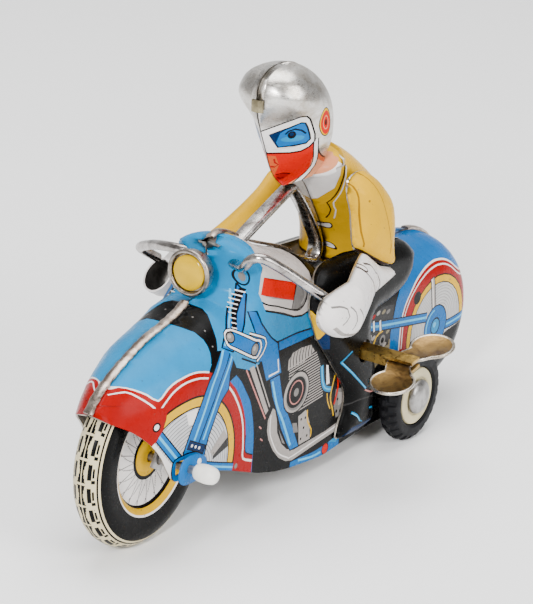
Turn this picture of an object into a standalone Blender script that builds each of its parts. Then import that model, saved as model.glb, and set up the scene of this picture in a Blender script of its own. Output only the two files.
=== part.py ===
"""Wind-up tin motorcycle with a rider.

Stamped tin halves joined at a centre seam, a free front wheel on a steering
fork, two rubber-tyred drive wheels on a rear axle, and a spring motor wound
by a key on the left. Forward is -Y, the left side is +X, and Z is up.
All dimensions are in millimetres and become metres in `place`.
"""

import math

import bmesh
import bpy
from mathutils import Matrix, Vector
from mathutils.geometry import delaunay_2d_cdt

MM = 0.001
GAP = 0.3

# Driving dimensions
SEAM_HALF_GAP = 0.15
TIN = 0.5
BODY_HALF_WIDTH = 14.3
BODY_EDGE_RADIUS = 11.0
FRONT_AXLE = (-61.0, 23.9)
FRONT_WHEEL_RADIUS = 23.9
FRONT_AXLE_RADIUS = 1.1
FORK_RAKE = math.radians(30.4)
DRIVE_AXLE = (39.0, 12.9)
DRIVE_TYRE_RADIUS = 12.9
DRIVE_TYRE_INNER_X = 16.4
DRIVE_TYRE_OUTER_X = 22.0
DRIVE_AXLE_RADIUS = 1.5
REAR_HUB = (61.5, 26.8)
REAR_GUARD_RADIUS = 22.5
WINDING = (14.0, 33.0)
WINDING_RADIUS = 1.8
SECOND_RADIUS = 1.1
GREAT_TEETH = 48
PINION_TEETH = 12
SECOND_TEETH = 44
GREAT_MODULE = 0.6
SECOND_MODULE = 0.5
MESH_SLACK = 0.15
KEY_TIP_X = 34.4
BAR_RADIUS = 1.3
LAMP_CENTRE = (0.0, -36.6, 66.0)


# ---------------------------------------------------------------- scene


def clear_scene():
    for thing in list(bpy.data.objects):
        bpy.data.objects.remove(thing, do_unlink=True)


def collection(name):
    group = bpy.data.collections.new(name)
    bpy.context.scene.collection.children.link(group)
    return group


def material(name, colour, metallic, roughness):
    made = bpy.data.materials.new(name)
    made.use_nodes = True
    shader = made.node_tree.nodes["Principled BSDF"]
    shader.inputs["Base Color"].default_value = (*colour, 1.0)
    shader.inputs["Metallic"].default_value = metallic
    shader.inputs["Roughness"].default_value = roughness
    made.diffuse_color = (*colour, 1.0)
    return made


clear_scene()
PARTS = collection("wind_up_motorcycle")
CUTTERS = collection("cutters")
CUTTERS.hide_render = True

BLUE = material("printed_blue", (0.02, 0.30, 0.62), 0.2, 0.3)
YELLOW = material("printed_yellow", (0.85, 0.58, 0.02), 0.2, 0.3)
BLACK = material("printed_black", (0.02, 0.02, 0.02), 0.1, 0.4)
WHITE = material("printed_white", (0.85, 0.82, 0.78), 0.0, 0.4)
SILVER = material("bright_tin", (0.60, 0.60, 0.60), 1.0, 0.3)
TARNISHED = material("tarnished_tin", (0.32, 0.24, 0.17), 1.0, 0.45)
RUBBER = material("black_rubber", (0.02, 0.02, 0.02), 0.0, 0.8)
CREAM = material("cream_plastic", (0.70, 0.64, 0.42), 0.0, 0.5)
IVORY = material("ivory_plastic", (0.85, 0.82, 0.74), 0.0, 0.4)
BRASS = material("brass", (0.60, 0.42, 0.14), 1.0, 0.35)
STEEL = material("steel", (0.45, 0.45, 0.46), 1.0, 0.35)


def place(name, vertices, faces, surface, group=None):
    """One closed mesh object from points in millimetres, facing out."""
    mesh = bpy.data.meshes.new(name)
    mesh.from_pydata([(x * MM, y * MM, z * MM) for x, y, z in vertices], [], faces)
    shape = bmesh.new()
    shape.from_mesh(mesh)
    bmesh.ops.recalc_face_normals(shape, faces=shape.faces)
    shape.to_mesh(mesh)
    shape.free()
    made = bpy.data.objects.new(name, mesh)
    if group is None:
        made.data.materials.append(surface)
        PARTS.objects.link(made)
    else:
        made.display_type = "WIRE"
        group.objects.link(made)
    return made


def set_origin(made, x, y, z):
    """Moves the object's origin to a joint axis without moving its shape."""
    shift = Vector((x * MM, y * MM, z * MM))
    made.data.transform(Matrix.Translation(-shift))
    made.location = shift


# ---------------------------------------------------------------- 2-D helpers


def resampled(path, step):
    """A closed outline's corners, with points added along its long sides."""
    out = []
    for start, end in zip(path, path[1:] + path[:1]):
        length = math.dist(start, end)
        pieces = max(1, round(length / step))
        for i in range(pieces):
            t = i / pieces
            out.append(
                (start[0] + (end[0] - start[0]) * t, start[1] + (end[1] - start[1]) * t)
            )
    return out


def rounded(path, step, closed=False):
    """A smooth curve through the path's points."""
    count = len(path)
    spans = count if closed else count - 1
    out = []
    for i in range(spans):
        before = path[i - 1] if (closed or i > 0) else path[0]
        start = path[i]
        end = path[(i + 1) % count]
        after = path[(i + 2) % count] if (closed or i + 2 < count) else path[-1]
        pieces = max(1, round(math.dist(start, end) / step))
        for k in range(pieces):
            t = k / pieces
            out.append(
                tuple(
                    0.5
                    * (
                        2 * b
                        + (c - a) * t
                        + (2 * a - 5 * b + 4 * c - d) * t * t
                        + (3 * b - a - 3 * c + d) * t**3
                    )
                    for a, b, c, d in zip(before, start, end, after)
                )
            )
    if not closed:
        out.append(path[-1])
    return out


def arc(centre, radius, start_deg, end_deg, count):
    """Points on a circle in the side plane; 0 is rearward and 90 is up."""
    out = []
    for i in range(count):
        angle = math.radians(start_deg + (end_deg - start_deg) * i / (count - 1))
        out.append(
            (centre[0] + radius * math.cos(angle), centre[1] + radius * math.sin(angle))
        )
    return out


def distance_to(path, point):
    """Distance from a point to an open path."""
    best = 1e9
    for start, end in zip(path, path[1:]):
        dy, dz = end[0] - start[0], end[1] - start[1]
        size = dy * dy + dz * dz
        t = ((point[0] - start[0]) * dy + (point[1] - start[1]) * dz) / max(size, 1e-9)
        t = min(1.0, max(0.0, t))
        best = min(best, math.dist(point, (start[0] + t * dy, start[1] + t * dz)))
    return best


def inside(outline, point):
    y, z = point
    found = False
    for (y0, z0), (y1, z1) in zip(outline, outline[1:] + outline[:1]):
        if (z0 > z) != (z1 > z) and y < (y1 - y0) * (z - z0) / (z1 - z0) + y0:
            found = not found
    return found


def smooth(low, high, value):
    t = min(1.0, max(0.0, (value - low) / (high - low)))
    return t * t * (3 - 2 * t)


def dome(depth, radius):
    """A quarter-round rise from 0 at an edge to 1 at the given radius."""
    t = min(1.0, depth / radius)
    return math.sqrt(max(0.0, 1 - (1 - t) ** 2))


# ---------------------------------------------------------------- builders


def stamped_half(name, outline, edge, height, side, surface, step, rows):
    """A tin half: a height field over the side outline, thickened inwards.

    edge is the open path that the stamping curves in from, height gives x at
    (y, z), and rows are the depths behind the edge that get a row of points.
    """
    rim = resampled(outline, step)
    points = list(rim)
    closed_rim = rim + rim[:1]
    kept = []

    def offer(point, clear, apart):
        if not inside(rim, point) or distance_to(closed_rim, point) < clear:
            return
        if all(math.dist(point, other) > apart for other in kept):
            kept.append(point)

    there_and_back = resampled(edge + edge[-2:0:-1], step)
    path = there_and_back[: len(there_and_back) // 2 + 1]
    for depth in rows:
        for start, end in zip(path, path[1:]):
            length = max(math.dist(start, end), 1e-6)
            ny, nz = (end[1] - start[1]) / length, (start[0] - end[0]) / length
            for sign in (1, -1):
                offer(
                    (start[0] + sign * ny * depth, start[1] + sign * nz * depth),
                    0.75 * min(depth, step),
                    0.55 * step,
                )
    low_y, high_y = min(p[0] for p in rim), max(p[0] for p in rim)
    low_z, high_z = min(p[1] for p in rim), max(p[1] for p in rim)
    grid = 1.35 * step
    for i in range(int((high_y - low_y) / grid) + 1):
        for k in range(int((high_z - low_z) / grid) + 1):
            shift = 0.5 * grid * (k % 2)
            offer((low_y + i * grid + shift, low_z + k * grid), 0.6 * step, 0.8 * step)
    points += kept
    flat, _, faces, _, _, _ = delaunay_2d_cdt(
        [Vector(p) for p in points], [], [list(range(len(rim)))], 1, 1e-5
    )
    outer = [Vector((height(p[0], p[1]), p[0], p[1])) for p in flat]
    normals = [Vector() for _ in outer]
    edges = set()
    for face in faces:
        one, two, three = (outer[i] for i in face)
        normal = (two - one).cross(three - one)
        for i in face:
            normals[i] += normal
        edges.update(zip(face, list(face[1:]) + [face[0]]))
    inner = []
    for point, normal in zip(outer, normals):
        moved = point - normal.normalized() * TIN
        moved.x = max(moved.x, min(point.x, SEAM_HALF_GAP))
        inner.append(moved)
    count = len(outer)
    sides = [(a, b, b + count, a + count) for a, b in edges if (b, a) not in edges]
    vertices = [(side * p.x, p.y, p.z) for p in outer + inner]
    caps = [tuple(f) for f in faces] + [tuple(i + count for i in f) for f in faces]
    return place(name, vertices, caps + sides, surface)


def turned(name, profile, centre, steps, surface, axis="X", group=None):
    """A solid of revolution. The profile is (radius, along) and closes itself."""
    rings = []
    vertices = []
    for radius, along in profile:
        if radius < 1e-6:
            rings.append([len(vertices)])
            vertices.append((0.0, 0.0, along))
            continue
        rings.append(list(range(len(vertices), len(vertices) + steps)))
        for i in range(steps):
            angle = 2 * math.pi * i / steps
            vertices.append((radius * math.cos(angle), radius * math.sin(angle), along))
    faces = []
    pairs = list(zip(rings, rings[1:]))
    if len(rings[0]) > 1:
        pairs.append((rings[-1], rings[0]))
    for one, two in pairs:
        for i in range(steps):
            k = (i + 1) % steps
            if len(one) == 1 and len(two) == 1:
                continue
            if len(one) == 1:
                faces.append((one[0], two[i], two[k]))
            elif len(two) == 1:
                faces.append((one[i], two[0], one[k]))
            else:
                faces.append((one[i], two[i], two[k], one[k]))
    turn = {"X": lambda v: (v[2], v[0], v[1]), "Y": lambda v: (v[0], v[2], v[1])}[axis]
    placed = [tuple(a + b for a, b in zip(turn(v), centre)) for v in vertices]
    return place(name, placed, faces, surface, group)


def swept(name, path, section, surface, group=None):
    """A closed section (sideways, upwards) carried along a 3-D path."""
    spine = [Vector(p) for p in path]
    count = len(section)
    vertices = []
    frame_up = Vector((0.0, 0.0, 1.0))
    for i, point in enumerate(spine):
        ahead = spine[min(i + 1, len(spine) - 1)] - spine[max(i - 1, 0)]
        ahead.normalize()
        across = ahead.cross(frame_up).normalized()
        frame_up = across.cross(ahead).normalized()
        for a, b in section:
            vertices.append(tuple(point + across * a + frame_up * b))
    faces = []
    for i in range(len(spine) - 1):
        for k in range(count):
            n = (k + 1) % count
            faces.append(
                (i * count + k, i * count + n, (i + 1) * count + n, (i + 1) * count + k)
            )
    faces.append(tuple(range(count)))
    faces.append(tuple(range((len(spine) - 1) * count, len(spine) * count)))
    return place(name, vertices, faces, surface, group)


def lofted(name, rings, surface, group=None):
    """A solid through equal rings of points, closed at both ends."""
    count = len(rings[0])
    vertices = [tuple(point) for one in rings for point in one]
    faces = [tuple(range(count)), tuple(range(len(vertices) - count, len(vertices)))]
    for i in range(len(rings) - 1):
        for k in range(count):
            n = (k + 1) % count
            faces.append(
                (i * count + k, i * count + n, (i + 1) * count + n, (i + 1) * count + k)
            )
    return place(name, vertices, faces, surface, group)


def circle_section(radius, sides):
    return [
        (
            radius * math.cos(2 * math.pi * i / sides),
            radius * math.sin(2 * math.pi * i / sides),
        )
        for i in range(sides)
    ]


def rod(name, centre, radius, low, high, surface, steps=16):
    """A round bar along X."""
    chamfer = 0.2
    profile = [
        (0.0, low),
        (radius - chamfer, low),
        (radius, low + chamfer),
        (radius, high - chamfer),
        (radius - chamfer, high),
        (0.0, high),
    ]
    return turned(name, profile, (0.0, *centre), steps, surface)


def plate(name, outline, holes, low, high, surface, to_world=None, group=None):
    """A flat sheet with holes, extruded from low to high."""
    loops = [outline] + holes
    points = [Vector(p) for loop in loops for p in loop]
    loop_faces = []
    start = 0
    for loop in loops:
        loop_faces.append(list(range(start, start + len(loop))))
        start += len(loop)
    flat, _, faces, _, _, _ = delaunay_2d_cdt(points, [], loop_faces, 2, 1e-6)
    if to_world is None:

        def to_world(a, b, c):
            return (c, a, b)

    count = len(flat)
    vertices = [to_world(p[0], p[1], low) for p in flat]
    vertices += [to_world(p[0], p[1], high) for p in flat]
    caps = [tuple(f) for f in faces] + [tuple(i + count for i in f) for f in faces]
    edges = {}
    for face in faces:
        for a, b in zip(face, list(face[1:]) + [face[0]]):
            edges[(a, b)] = True
    sides = [
        (a, b, b + count, a + count) for a, b in edges if (b, a) not in edges
    ]
    return place(name, vertices, caps + sides, surface, group)


def ring(centre, radius, count):
    return arc(centre, radius, 0, 360 * (count - 1) / count, count)


def gear_outline(centre, teeth, module, phase):
    """Straight-sided teeth, a little thinner than half the pitch."""
    pitch = teeth * module / 2
    out = []
    for i in range(teeth):
        middle = phase + 2 * math.pi * i / teeth
        half = math.pi / teeth
        for share, radius in (
            (-0.66, pitch - 1.15 * module),
            (-0.22, pitch + 0.95 * module),
            (0.22, pitch + 0.95 * module),
            (0.66, pitch - 1.15 * module),
        ):
            angle = middle + share * half
            out.append(
                (
                    centre[0] + radius * math.cos(angle),
                    centre[1] + radius * math.sin(angle),
                )
            )
    return out


def cut(made, cutter):
    hole = made.modifiers.new("hole_" + cutter.name, "BOOLEAN")
    hole.operation = "DIFFERENCE"
    hole.solver = "EXACT"
    hole.object = cutter


def box(name, low, high, group):
    x0, y0, z0 = low
    x1, y1, z1 = high
    vertices = [(x, y, z) for x in (x0, x1) for y in (y0, y1) for z in (z0, z1)]
    faces = [
        (0, 1, 3, 2),
        (4, 6, 7, 5),
        (0, 4, 5, 1),
        (2, 3, 7, 6),
        (0, 2, 6, 4),
        (1, 5, 7, 3),
    ]
    return place(name, vertices, faces, None, group)


# ---------------------------------------------------------------- motorcycle body

FRONT_SEAM = [
    (-82.3, 41.0),
    (-80.0, 43.6),
    (-77.0, 45.9),
    (-72.0, 48.6),
    (-68.2, 50.3),
    (-60.2, 53.3),
    (-52.6, 54.9),
    (-46.8, 56.5),
    (-43.2, 58.2),
]
HEAD_SEAM = [
    (-37.6, 58.9),
    (-35.2, 61.5),
    (-34.6, 66.5),
    (-34.9, 70.6),
    (-33.4, 72.6),
    (-30.4, 73.2),
    (-26.9, 72.3),
    (-22.4, 70.2),
    (-18.0, 67.9),
    (-14.3, 66.1),
    (-9.4, 64.3),
    (-2.1, 61.6),
    (4.0, 58.8),
    (9.0, 54.6),
    (13.5, 51.4),
    (20.0, 50.4),
    (34.0, 50.2),
    (45.0, 50.0),
    (53.5, 49.7),
]
REAR_SEAM = arc(REAR_HUB, REAR_GUARD_RADIUS, 92, -76, 22)
BODY_SEAM = FRONT_SEAM + HEAD_SEAM + REAR_SEAM
BODY_BOTTOM = [
    (52.0, 5.0),
    (28.0, 6.6),
    (11.8, 6.0),
    (2.9, 5.6),
    (-8.0, 6.8),
    (-17.7, 8.3),
    (-27.8, 11.1),
    (-35.0, 13.9),
    (-43.4, 17.2),
    (-52.0, 19.8),
    (-58.0, 20.2),
    (-63.5, 20.6),
    (-65.6, 23.4),
    (-68.2, 28.4),
    (-71.4, 32.4),
    (-76.4, 36.8),
    (-80.4, 39.2),
]
BODY_OUTLINE = BODY_SEAM + BODY_BOTTOM


# (y, half width): the nose narrows towards its tip
NOSE_WIDTHS = [
    (-84.0, 6.4),
    (-82.0, 7.2),
    (-76.0, 9.0),
    (-70.0, 11.0),
    (-61.0, 13.2),
    (-50.0, BODY_HALF_WIDTH),
]


def body_half_width(y):
    for (y0, width0), (y1, width1) in zip(NOSE_WIDTHS, NOSE_WIDTHS[1:]):
        if y <= y1:
            return width0 + (width1 - width0) * max(0.0, (y - y0) / (y1 - y0))
    return BODY_HALF_WIDTH


def body_height(y, z):
    depth = distance_to(BODY_SEAM, (y, z))
    rise = body_half_width(y) - SEAM_HALF_GAP
    return SEAM_HALF_GAP + rise * dome(depth, BODY_EDGE_RADIUS)


def hole_cutter(name, centre, radius, low, high, steps=16):
    profile = [(0.0, low), (radius, low), (radius, high), (0.0, high)]
    return turned(name, profile, (0.0, *centre), steps, None, "X", CUTTERS)


FAR_X = 22.0
AXLE_SLOT_HALF = (2.3, 1.8)
front_slot = box(
    "front_axle_slot",
    (-FAR_X, FRONT_AXLE[0] - AXLE_SLOT_HALF[0], FRONT_AXLE[1] - AXLE_SLOT_HALF[1]),
    (FAR_X, FRONT_AXLE[0] + AXLE_SLOT_HALF[0], FRONT_AXLE[1] + AXLE_SLOT_HALF[1]),
    CUTTERS,
)
drive_hole = hole_cutter("drive_axle_hole", DRIVE_AXLE, 2.2, -FAR_X, FAR_X)
winding_hole = hole_cutter("winding_hole", WINDING, 3.0, 2.0, 30.0)


def build_body():
    for name, side in (("body_left_half", 1), ("body_right_half", -1)):
        half = stamped_half(
            name,
            BODY_OUTLINE,
            BODY_SEAM,
            body_height,
            side,
            BLUE,
            5.0,
            (0.9, 2.6, 5.4, 9.0),
        )
        cut(half, front_slot)
        cut(half, drive_hole)
        if side > 0:
            cut(half, winding_hole)


build_body()


def seam_strip(name, path, half_width, surface):
    """A narrow band that covers the seam, standing off it by the gap."""
    line = rounded(path, 3.5)
    low, high = GAP, GAP + 0.8
    vertices = []
    for i, (y, z) in enumerate(line):
        a, b = line[max(i - 1, 0)], line[min(i + 1, len(line) - 1)]
        length = math.dist(a, b)
        ny, nz = -(b[1] - a[1]) / length, (b[0] - a[0]) / length
        for x, off in (
            (-half_width, low),
            (half_width, low),
            (half_width, high - 0.3),
            (half_width - 0.4, high),
            (0.4 - half_width, high),
            (-half_width, high - 0.3),
        ):
            vertices.append((x, y + ny * off, z + nz * off))
    count = 6
    faces = [tuple(range(count)), tuple(range(len(vertices) - count, len(vertices)))]
    for i in range(len(line) - 1):
        for k in range(count):
            n = (k + 1) % count
            faces.append(
                (i * count + k, i * count + n, (i + 1) * count + n, (i + 1) * count + k)
            )
    return place(name, vertices, faces, surface)


def build_seam_strips():
    seam_strip("seam_strip_front", FRONT_SEAM, 1.4, TARNISHED)
    seam_strip("seam_strip_head", HEAD_SEAM[4:8], 1.2, TARNISHED)
    seam_strip("seam_strip_tank", HEAD_SEAM[9:13], 1.2, TARNISHED)
    seam_strip("seam_strip_rear", REAR_SEAM[1:16], 1.2, TARNISHED)


build_seam_strips()


# ---------------------------------------------------------------- headlamp


def build_headlamp():
    shell = [
        (0.0, 0.0),
        (3.0, -0.2),
        (4.5, -1.2),
        (5.6, -2.8),
        (6.0, -4.6),
        (6.15, -5.6),
        (5.9, -6.2),
        (5.3, -6.4),
        (4.9, -6.0),
        (4.9, -5.0),
        (0.0, -5.0),
    ]
    turned("headlamp_shell", shell, LAMP_CENTRE, 28, TARNISHED, "Y")
    lens = [
        (0.0, -5.3),
        (4.6, -5.3),
        (4.6, -6.1),
        (3.2, -6.5),
        (0.0, -6.7),
    ]
    turned("headlamp_lens", lens, LAMP_CENTRE, 28, YELLOW, "Y")


build_headlamp()


# ---------------------------------------------------------------- handlebar and tank loop

BAR_LEFT = [
    (0.0, -31.8, 67.4),
    (5.0, -32.0, 67.5),
    (9.0, -34.2, 67.8),
    (12.0, -36.2, 68.7),
    (14.2, -36.6, 71.2),
    (17.2, -35.6, 71.9),
    (21.0, -31.4, 68.6),
    (26.4, -25.4, 62.9),
    (28.0, -23.2, 61.0),
    (27.9, -20.6, 59.0),
    (27.4, -15.0, 55.6),
]
BAR_RIGHT = [
    (-5.0, -32.0, 67.5),
    (-9.0, -33.4, 67.8),
    (-14.0, -33.0, 67.3),
    (-20.0, -29.4, 65.2),
    (-26.6, -24.6, 62.0),
    (-28.6, -22.4, 60.4),
    (-28.7, -19.6, 58.6),
    (-28.4, -15.0, 55.8),
]


def build_handlebar():
    path = rounded(BAR_RIGHT[::-1] + BAR_LEFT, 3.0)
    swept("handlebar", path, circle_section(BAR_RADIUS, 10), SILVER)
    middle = rounded(BAR_RIGHT[4::-1] + BAR_LEFT[:8], 3.0)
    cutter = swept(
        "handlebar_hole", middle, circle_section(BAR_RADIUS + 0.6, 10), None, CUTTERS
    )
    for name in ("body_left_half", "body_right_half"):
        cut(bpy.data.objects[name], cutter)


LOOP_HALF_WIDTH = 2.1
LOOP_SLOT_HALF = 2.7
LOOP_PATH = [
    (-24.6, 66.0),
    (-21.0, 68.6),
    (0.6, 76.6),
    (2.6, 77.0),
    (4.4, 75.8),
    (9.8, 69.6),
    (15.4, 61.6),
    (17.0, 58.2),
    (16.6, 55.2),
    (14.6, 53.9),
    (11.0, 55.0),
    (4.0, 57.2),
]


def build_tank_loop():
    """A bright metal band bent to a triangle, its ends in slots on the tank."""
    width, thick = LOOP_HALF_WIDTH, 0.8
    line = rounded(LOOP_PATH, 3.0)
    vertices = []
    for i, (y, z) in enumerate(line):
        a, b = line[max(i - 1, 0)], line[min(i + 1, len(line) - 1)]
        length = math.dist(a, b)
        ny, nz = -(b[1] - a[1]) / length, (b[0] - a[0]) / length
        for x, off in (
            (-width, -thick),
            (width, -thick),
            (width, 0.3),
            (width - 0.6, thick),
            (0.6 - width, thick),
            (-width, 0.3),
        ):
            vertices.append((x, y + ny * off, z + nz * off))
    faces = [tuple(range(6)), tuple(range(len(vertices) - 6, len(vertices)))]
    for i in range(len(line) - 1):
        for k in range(6):
            n = (k + 1) % 6
            faces.append((i * 6 + k, i * 6 + n, (i + 1) * 6 + n, (i + 1) * 6 + k))
    place("tank_loop", vertices, faces, SILVER)
    slots = (
        box(
            "loop_front_slot",
            (-LOOP_SLOT_HALF, -26.0, 64.5),
            (LOOP_SLOT_HALF, -18.2, 71.5),
            CUTTERS,
        ),
        box(
            "loop_rear_slot",
            (-LOOP_SLOT_HALF, 2.6, 52.0),
            (LOOP_SLOT_HALF, 14.8, 61.0),
            CUTTERS,
        ),
    )
    for slot in slots:
        for name in ("body_left_half", "body_right_half"):
            cut(bpy.data.objects[name], slot)


build_handlebar()
build_tank_loop()


# ---------------------------------------------------------------- rider

TORSO_FRONT = [
    (6.2, 79.3),
    (9.7, 76.2),
    (13.6, 70.6),
    (17.8, 64.2),
    (20.6, 58.2),
    (21.0, 51.6),
]
TORSO_BACK = [
    (41.5, 51.6),
    (44.0, 57.5),
    (41.4, 66.0),
    (35.8, 73.2),
    (28.6, 79.4),
    (21.4, 84.4),
    (15.0, 87.8),
]
TORSO_OUTLINE = TORSO_FRONT + TORSO_BACK + [(11.6, 84.8)]
TORSO_HALF_WIDTH = 12.4

HEAD_EDGE = [
    (-1.2, 78.4),
    (-4.6, 81.0),
    (-7.6, 84.8),
    (-9.6, 89.2),
    (-12.8, 95.8),
    (-14.8, 101.0),
    (-15.1, 105.2),
    (-13.6, 108.8),
    (-9.6, 111.3),
    (-4.2, 111.8),
    (1.4, 110.6),
    (6.2, 107.4),
    (9.6, 102.6),
    (11.2, 96.8),
    (11.2, 91.0),
    (11.6, 86.2),
]
HEAD_OUTLINE = HEAD_EDGE + [(5.6, 80.2)]
HEAD_FACE = HEAD_EDGE[:8]
HEAD_BACK = HEAD_EDGE[7:]
HEAD_HALF_WIDTH = 12.4
NECK_HALF_WIDTH = 7.6

LEG_LOWER = [
    (-4.5, 41.0),
    (1.0, 34.5),
    (8.8, 25.0),
    (11.2, 20.0),
    (10.6, 15.8),
    (9.0, 12.4),
    (9.2, 8.4),
    (24.0, 8.9),
    (24.6, 14.0),
    (24.4, 19.0),
    (23.0, 28.0),
    (20.0, 36.5),
    (21.0, 41.0),
    (28.0, 42.2),
    (35.4, 44.2),
    (40.0, 48.5),
]
LEFT_THIGH = [
    (41.0, 54.0),
    (37.0, 57.0),
    (30.0, 58.5),
    (14.0, 59.6),
    (6.0, 59.8),
    (-1.0, 59.4),
    (-6.0, 57.2),
    (-8.8, 53.5),
    (-8.4, 48.6),
]
RIGHT_THIGH = [
    (40.4, 50.4),
    (36.0, 51.6),
    (30.0, 52.4),
    (14.0, 53.8),
    (8.0, 53.4),
    (2.0, 52.2),
    (-4.0, 50.4),
    (-7.6, 48.8),
    (-7.6, 46.0),
]
LEG_OUTLINES = {"left": LEFT_THIGH + LEG_LOWER, "right": RIGHT_THIGH + LEG_LOWER}
SLEEVE_OUTLINE = [
    (8.2, 80.6),
    (13.5, 81.8),
    (18.5, 79.6),
    (22.6, 75.6),
    (24.9, 71.6),
    (24.6, 66.0),
    (22.8, 61.0),
    (21.6, 55.6),
    (16.0, 57.6),
    (6.9, 63.2),
    (6.6, 68.0),
    (7.2, 73.0),
    (6.6, 77.6),
]
GLOVE_OUTLINE = [
    (6.0, 62.9),
    (-4.0, 63.9),
    (-13.4, 63.2),
    (-21.0, 62.6),
    (-27.0, 61.6),
    (-29.2, 57.8),
    (-26.0, 53.4),
    (-18.0, 49.2),
    (-8.0, 48.6),
    (4.0, 49.2),
    (13.0, 50.6),
    (22.8, 53.4),
    (15.4, 57.0),
]


def torso_height(y, z):
    depth = min(distance_to(TORSO_FRONT, (y, z)), distance_to(TORSO_BACK, (y, z)))
    return SEAM_HALF_GAP + (TORSO_HALF_WIDTH - SEAM_HALF_GAP) * dome(depth, 10.0)


def head_height(y, z):
    width = HEAD_HALF_WIDTH
    width -= (HEAD_HALF_WIDTH - NECK_HALF_WIDTH) * smooth(93.0, 79.0, z)
    ahead = distance_to(HEAD_FACE, (y, z))
    flat_face = 1 - (1 - min(1.0, ahead / 20.0)) ** 2
    round_brow = dome(ahead, 14.0)
    front = flat_face + (round_brow - flat_face) * smooth(96.0, 106.0, z)
    rise = min(front, dome(distance_to(HEAD_BACK, (y, z)), 12.5))
    return SEAM_HALF_GAP + (width - SEAM_HALF_GAP) * rise


def leg_height(outline):
    edge = outline + outline[:1]

    def height(y, z):
        tank = 15.0 - 0.8 * max(0.0, z - 56.0)
        hip = 15.0 - 1.5 * smooth(48.0, 56.0, z)
        base = tank + (hip - tank) * smooth(10.0, 18.0, y)
        outer = 19.0 - 1.2 * smooth(30.0, 12.0, z)
        return base + (outer - base) * dome(distance_to(edge, (y, z)), 6.0)

    return height


def sleeve_height(y, z):
    base = 13.4 + 0.22 * (84.0 - z)
    depth = distance_to(SLEEVE_OUTLINE + SLEEVE_OUTLINE[:1], (y, z))
    return base + 4.6 * dome(depth, 7.0)


def glove_height(y, z):
    base = min(29.8, max(19.9, 20.2 + 0.42 * (8.0 - y)))
    depth = distance_to(GLOVE_OUTLINE + GLOVE_OUTLINE[:1], (y, z))
    return base + 4.7 * dome(depth, 6.0)


# Right arm: centre, then half size along X and across the arm
RIGHT_SLEEVE = [
    ((-15.6, 22.6, 71.0), 1.6, 3.4),
    ((-15.6, 21.0, 69.9), 2.5, 5.0),
    ((-15.6, 15.0, 66.3), 2.8, 5.0),
    ((-16.6, 5.6, 61.9), 3.3, 4.6),
    ((-19.2, -2.0, 57.6), 3.6, 4.2),
    ((-21.6, -8.0, 55.3), 3.7, 4.0),
]
RIGHT_WRIST = [
    ((-22.5, -9.2, 55.0), 3.6, 3.9),
    ((-23.8, -11.6, 54.2), 4.0, 4.4),
]
RIGHT_PALM = (-26.0, -18.0, 52.4)
RIGHT_PALM_FACING = Vector((-0.15, -0.74, 0.65)).normalized()
ARM_SIDES = 14


def oval(centre, along, half_x, half_across):
    """An oval ring of points about a centre, square to a direction."""
    across = along.cross(Vector((1.0, 0.0, 0.0))).normalized()
    sideways = across.cross(along).normalized()
    return [
        Vector(centre) + sideways * (half_x * a) + across * (half_across * b)
        for a, b in circle_section(1.0, ARM_SIDES)
    ]


def build_right_arm():
    """A closed sleeve, and a hollow hand that is open round the handlebar."""
    rings = []
    for i, (centre, half_x, half_across) in enumerate(RIGHT_SLEEVE):
        before = Vector(RIGHT_SLEEVE[max(i - 1, 0)][0])
        after = Vector(RIGHT_SLEEVE[min(i + 1, len(RIGHT_SLEEVE) - 1)][0])
        rings.append(oval(centre, (after - before).normalized(), half_x, half_across))
    lofted("right_sleeve", rings, YELLOW)
    arm = (Vector(RIGHT_WRIST[1][0]) - Vector(RIGHT_WRIST[0][0])).normalized()
    shape = [(centre, arm, a, b) for centre, a, b in RIGHT_WRIST]
    knuckle = Vector(RIGHT_PALM) + Vector((0.6, 3.4, -1.6))
    shape.append((knuckle, (arm + RIGHT_PALM_FACING * 0.2).normalized(), 4.6, 5.0))
    shape.append((RIGHT_PALM, RIGHT_PALM_FACING, 4.4, 5.0))
    outside = [oval(*ring_shape) for ring_shape in shape]
    inside_rings = [
        oval(centre, along, half_x - TIN, half_across - TIN)
        for centre, along, half_x, half_across in shape[:0:-1]
    ]
    lofted("right_glove", outside + inside_rings, WHITE)


def build_rider():
    for word, side in (("left", 1), ("right", -1)):
        stamped_half(
            f"rider_{word}_half",
            TORSO_OUTLINE,
            TORSO_FRONT,
            torso_height,
            side,
            YELLOW,
            5.0,
            (1.2, 4.0),
        )
        stamped_half(
            f"head_{word}_half",
            HEAD_OUTLINE,
            HEAD_EDGE,
            head_height,
            side,
            SILVER,
            4.0,
            (1.6, 4.4),
        )
        outline = LEG_OUTLINES[word]
        leg = stamped_half(
            f"{word}_leg", outline, outline, leg_height(outline), side, BLACK, 5.0, (1.2,)
        )
        if side > 0:
            cut(leg, hole_cutter("key_leg_hole", WINDING, 3.2, 10.0, 30.0))
    stamped_half(
        "left_sleeve", SLEEVE_OUTLINE, SLEEVE_OUTLINE, sleeve_height, 1, YELLOW, 4.6, (1.3,)
    )
    stamped_half(
        "left_glove", GLOVE_OUTLINE, GLOVE_OUTLINE, glove_height, 1, WHITE, 4.6, (1.3,)
    )
    build_right_arm()


HELMET_TAB = [(-15.5, 104.6), (-15.4, 101.4)]


def build_helmet_tab():
    """The folded end of the strip that holds the two halves of the head."""
    vertices = []
    for y, z in HELMET_TAB:
        for x, off in ((-1.0, 0.0), (2.2, 0.0), (2.2, 0.7), (-1.0, 0.7)):
            lean = 0.06 * max(0.0, x) ** 2
            vertices.append((x, y - off + lean, z))
    faces = [
        (0, 1, 2, 3),
        (4, 5, 6, 7),
        (0, 1, 5, 4),
        (1, 2, 6, 5),
        (2, 3, 7, 6),
        (3, 0, 4, 7),
    ]
    place("helmet_tab", vertices, faces, TARNISHED)


build_rider()
build_helmet_tab()


# ---------------------------------------------------------------- front wheel and steering


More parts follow.
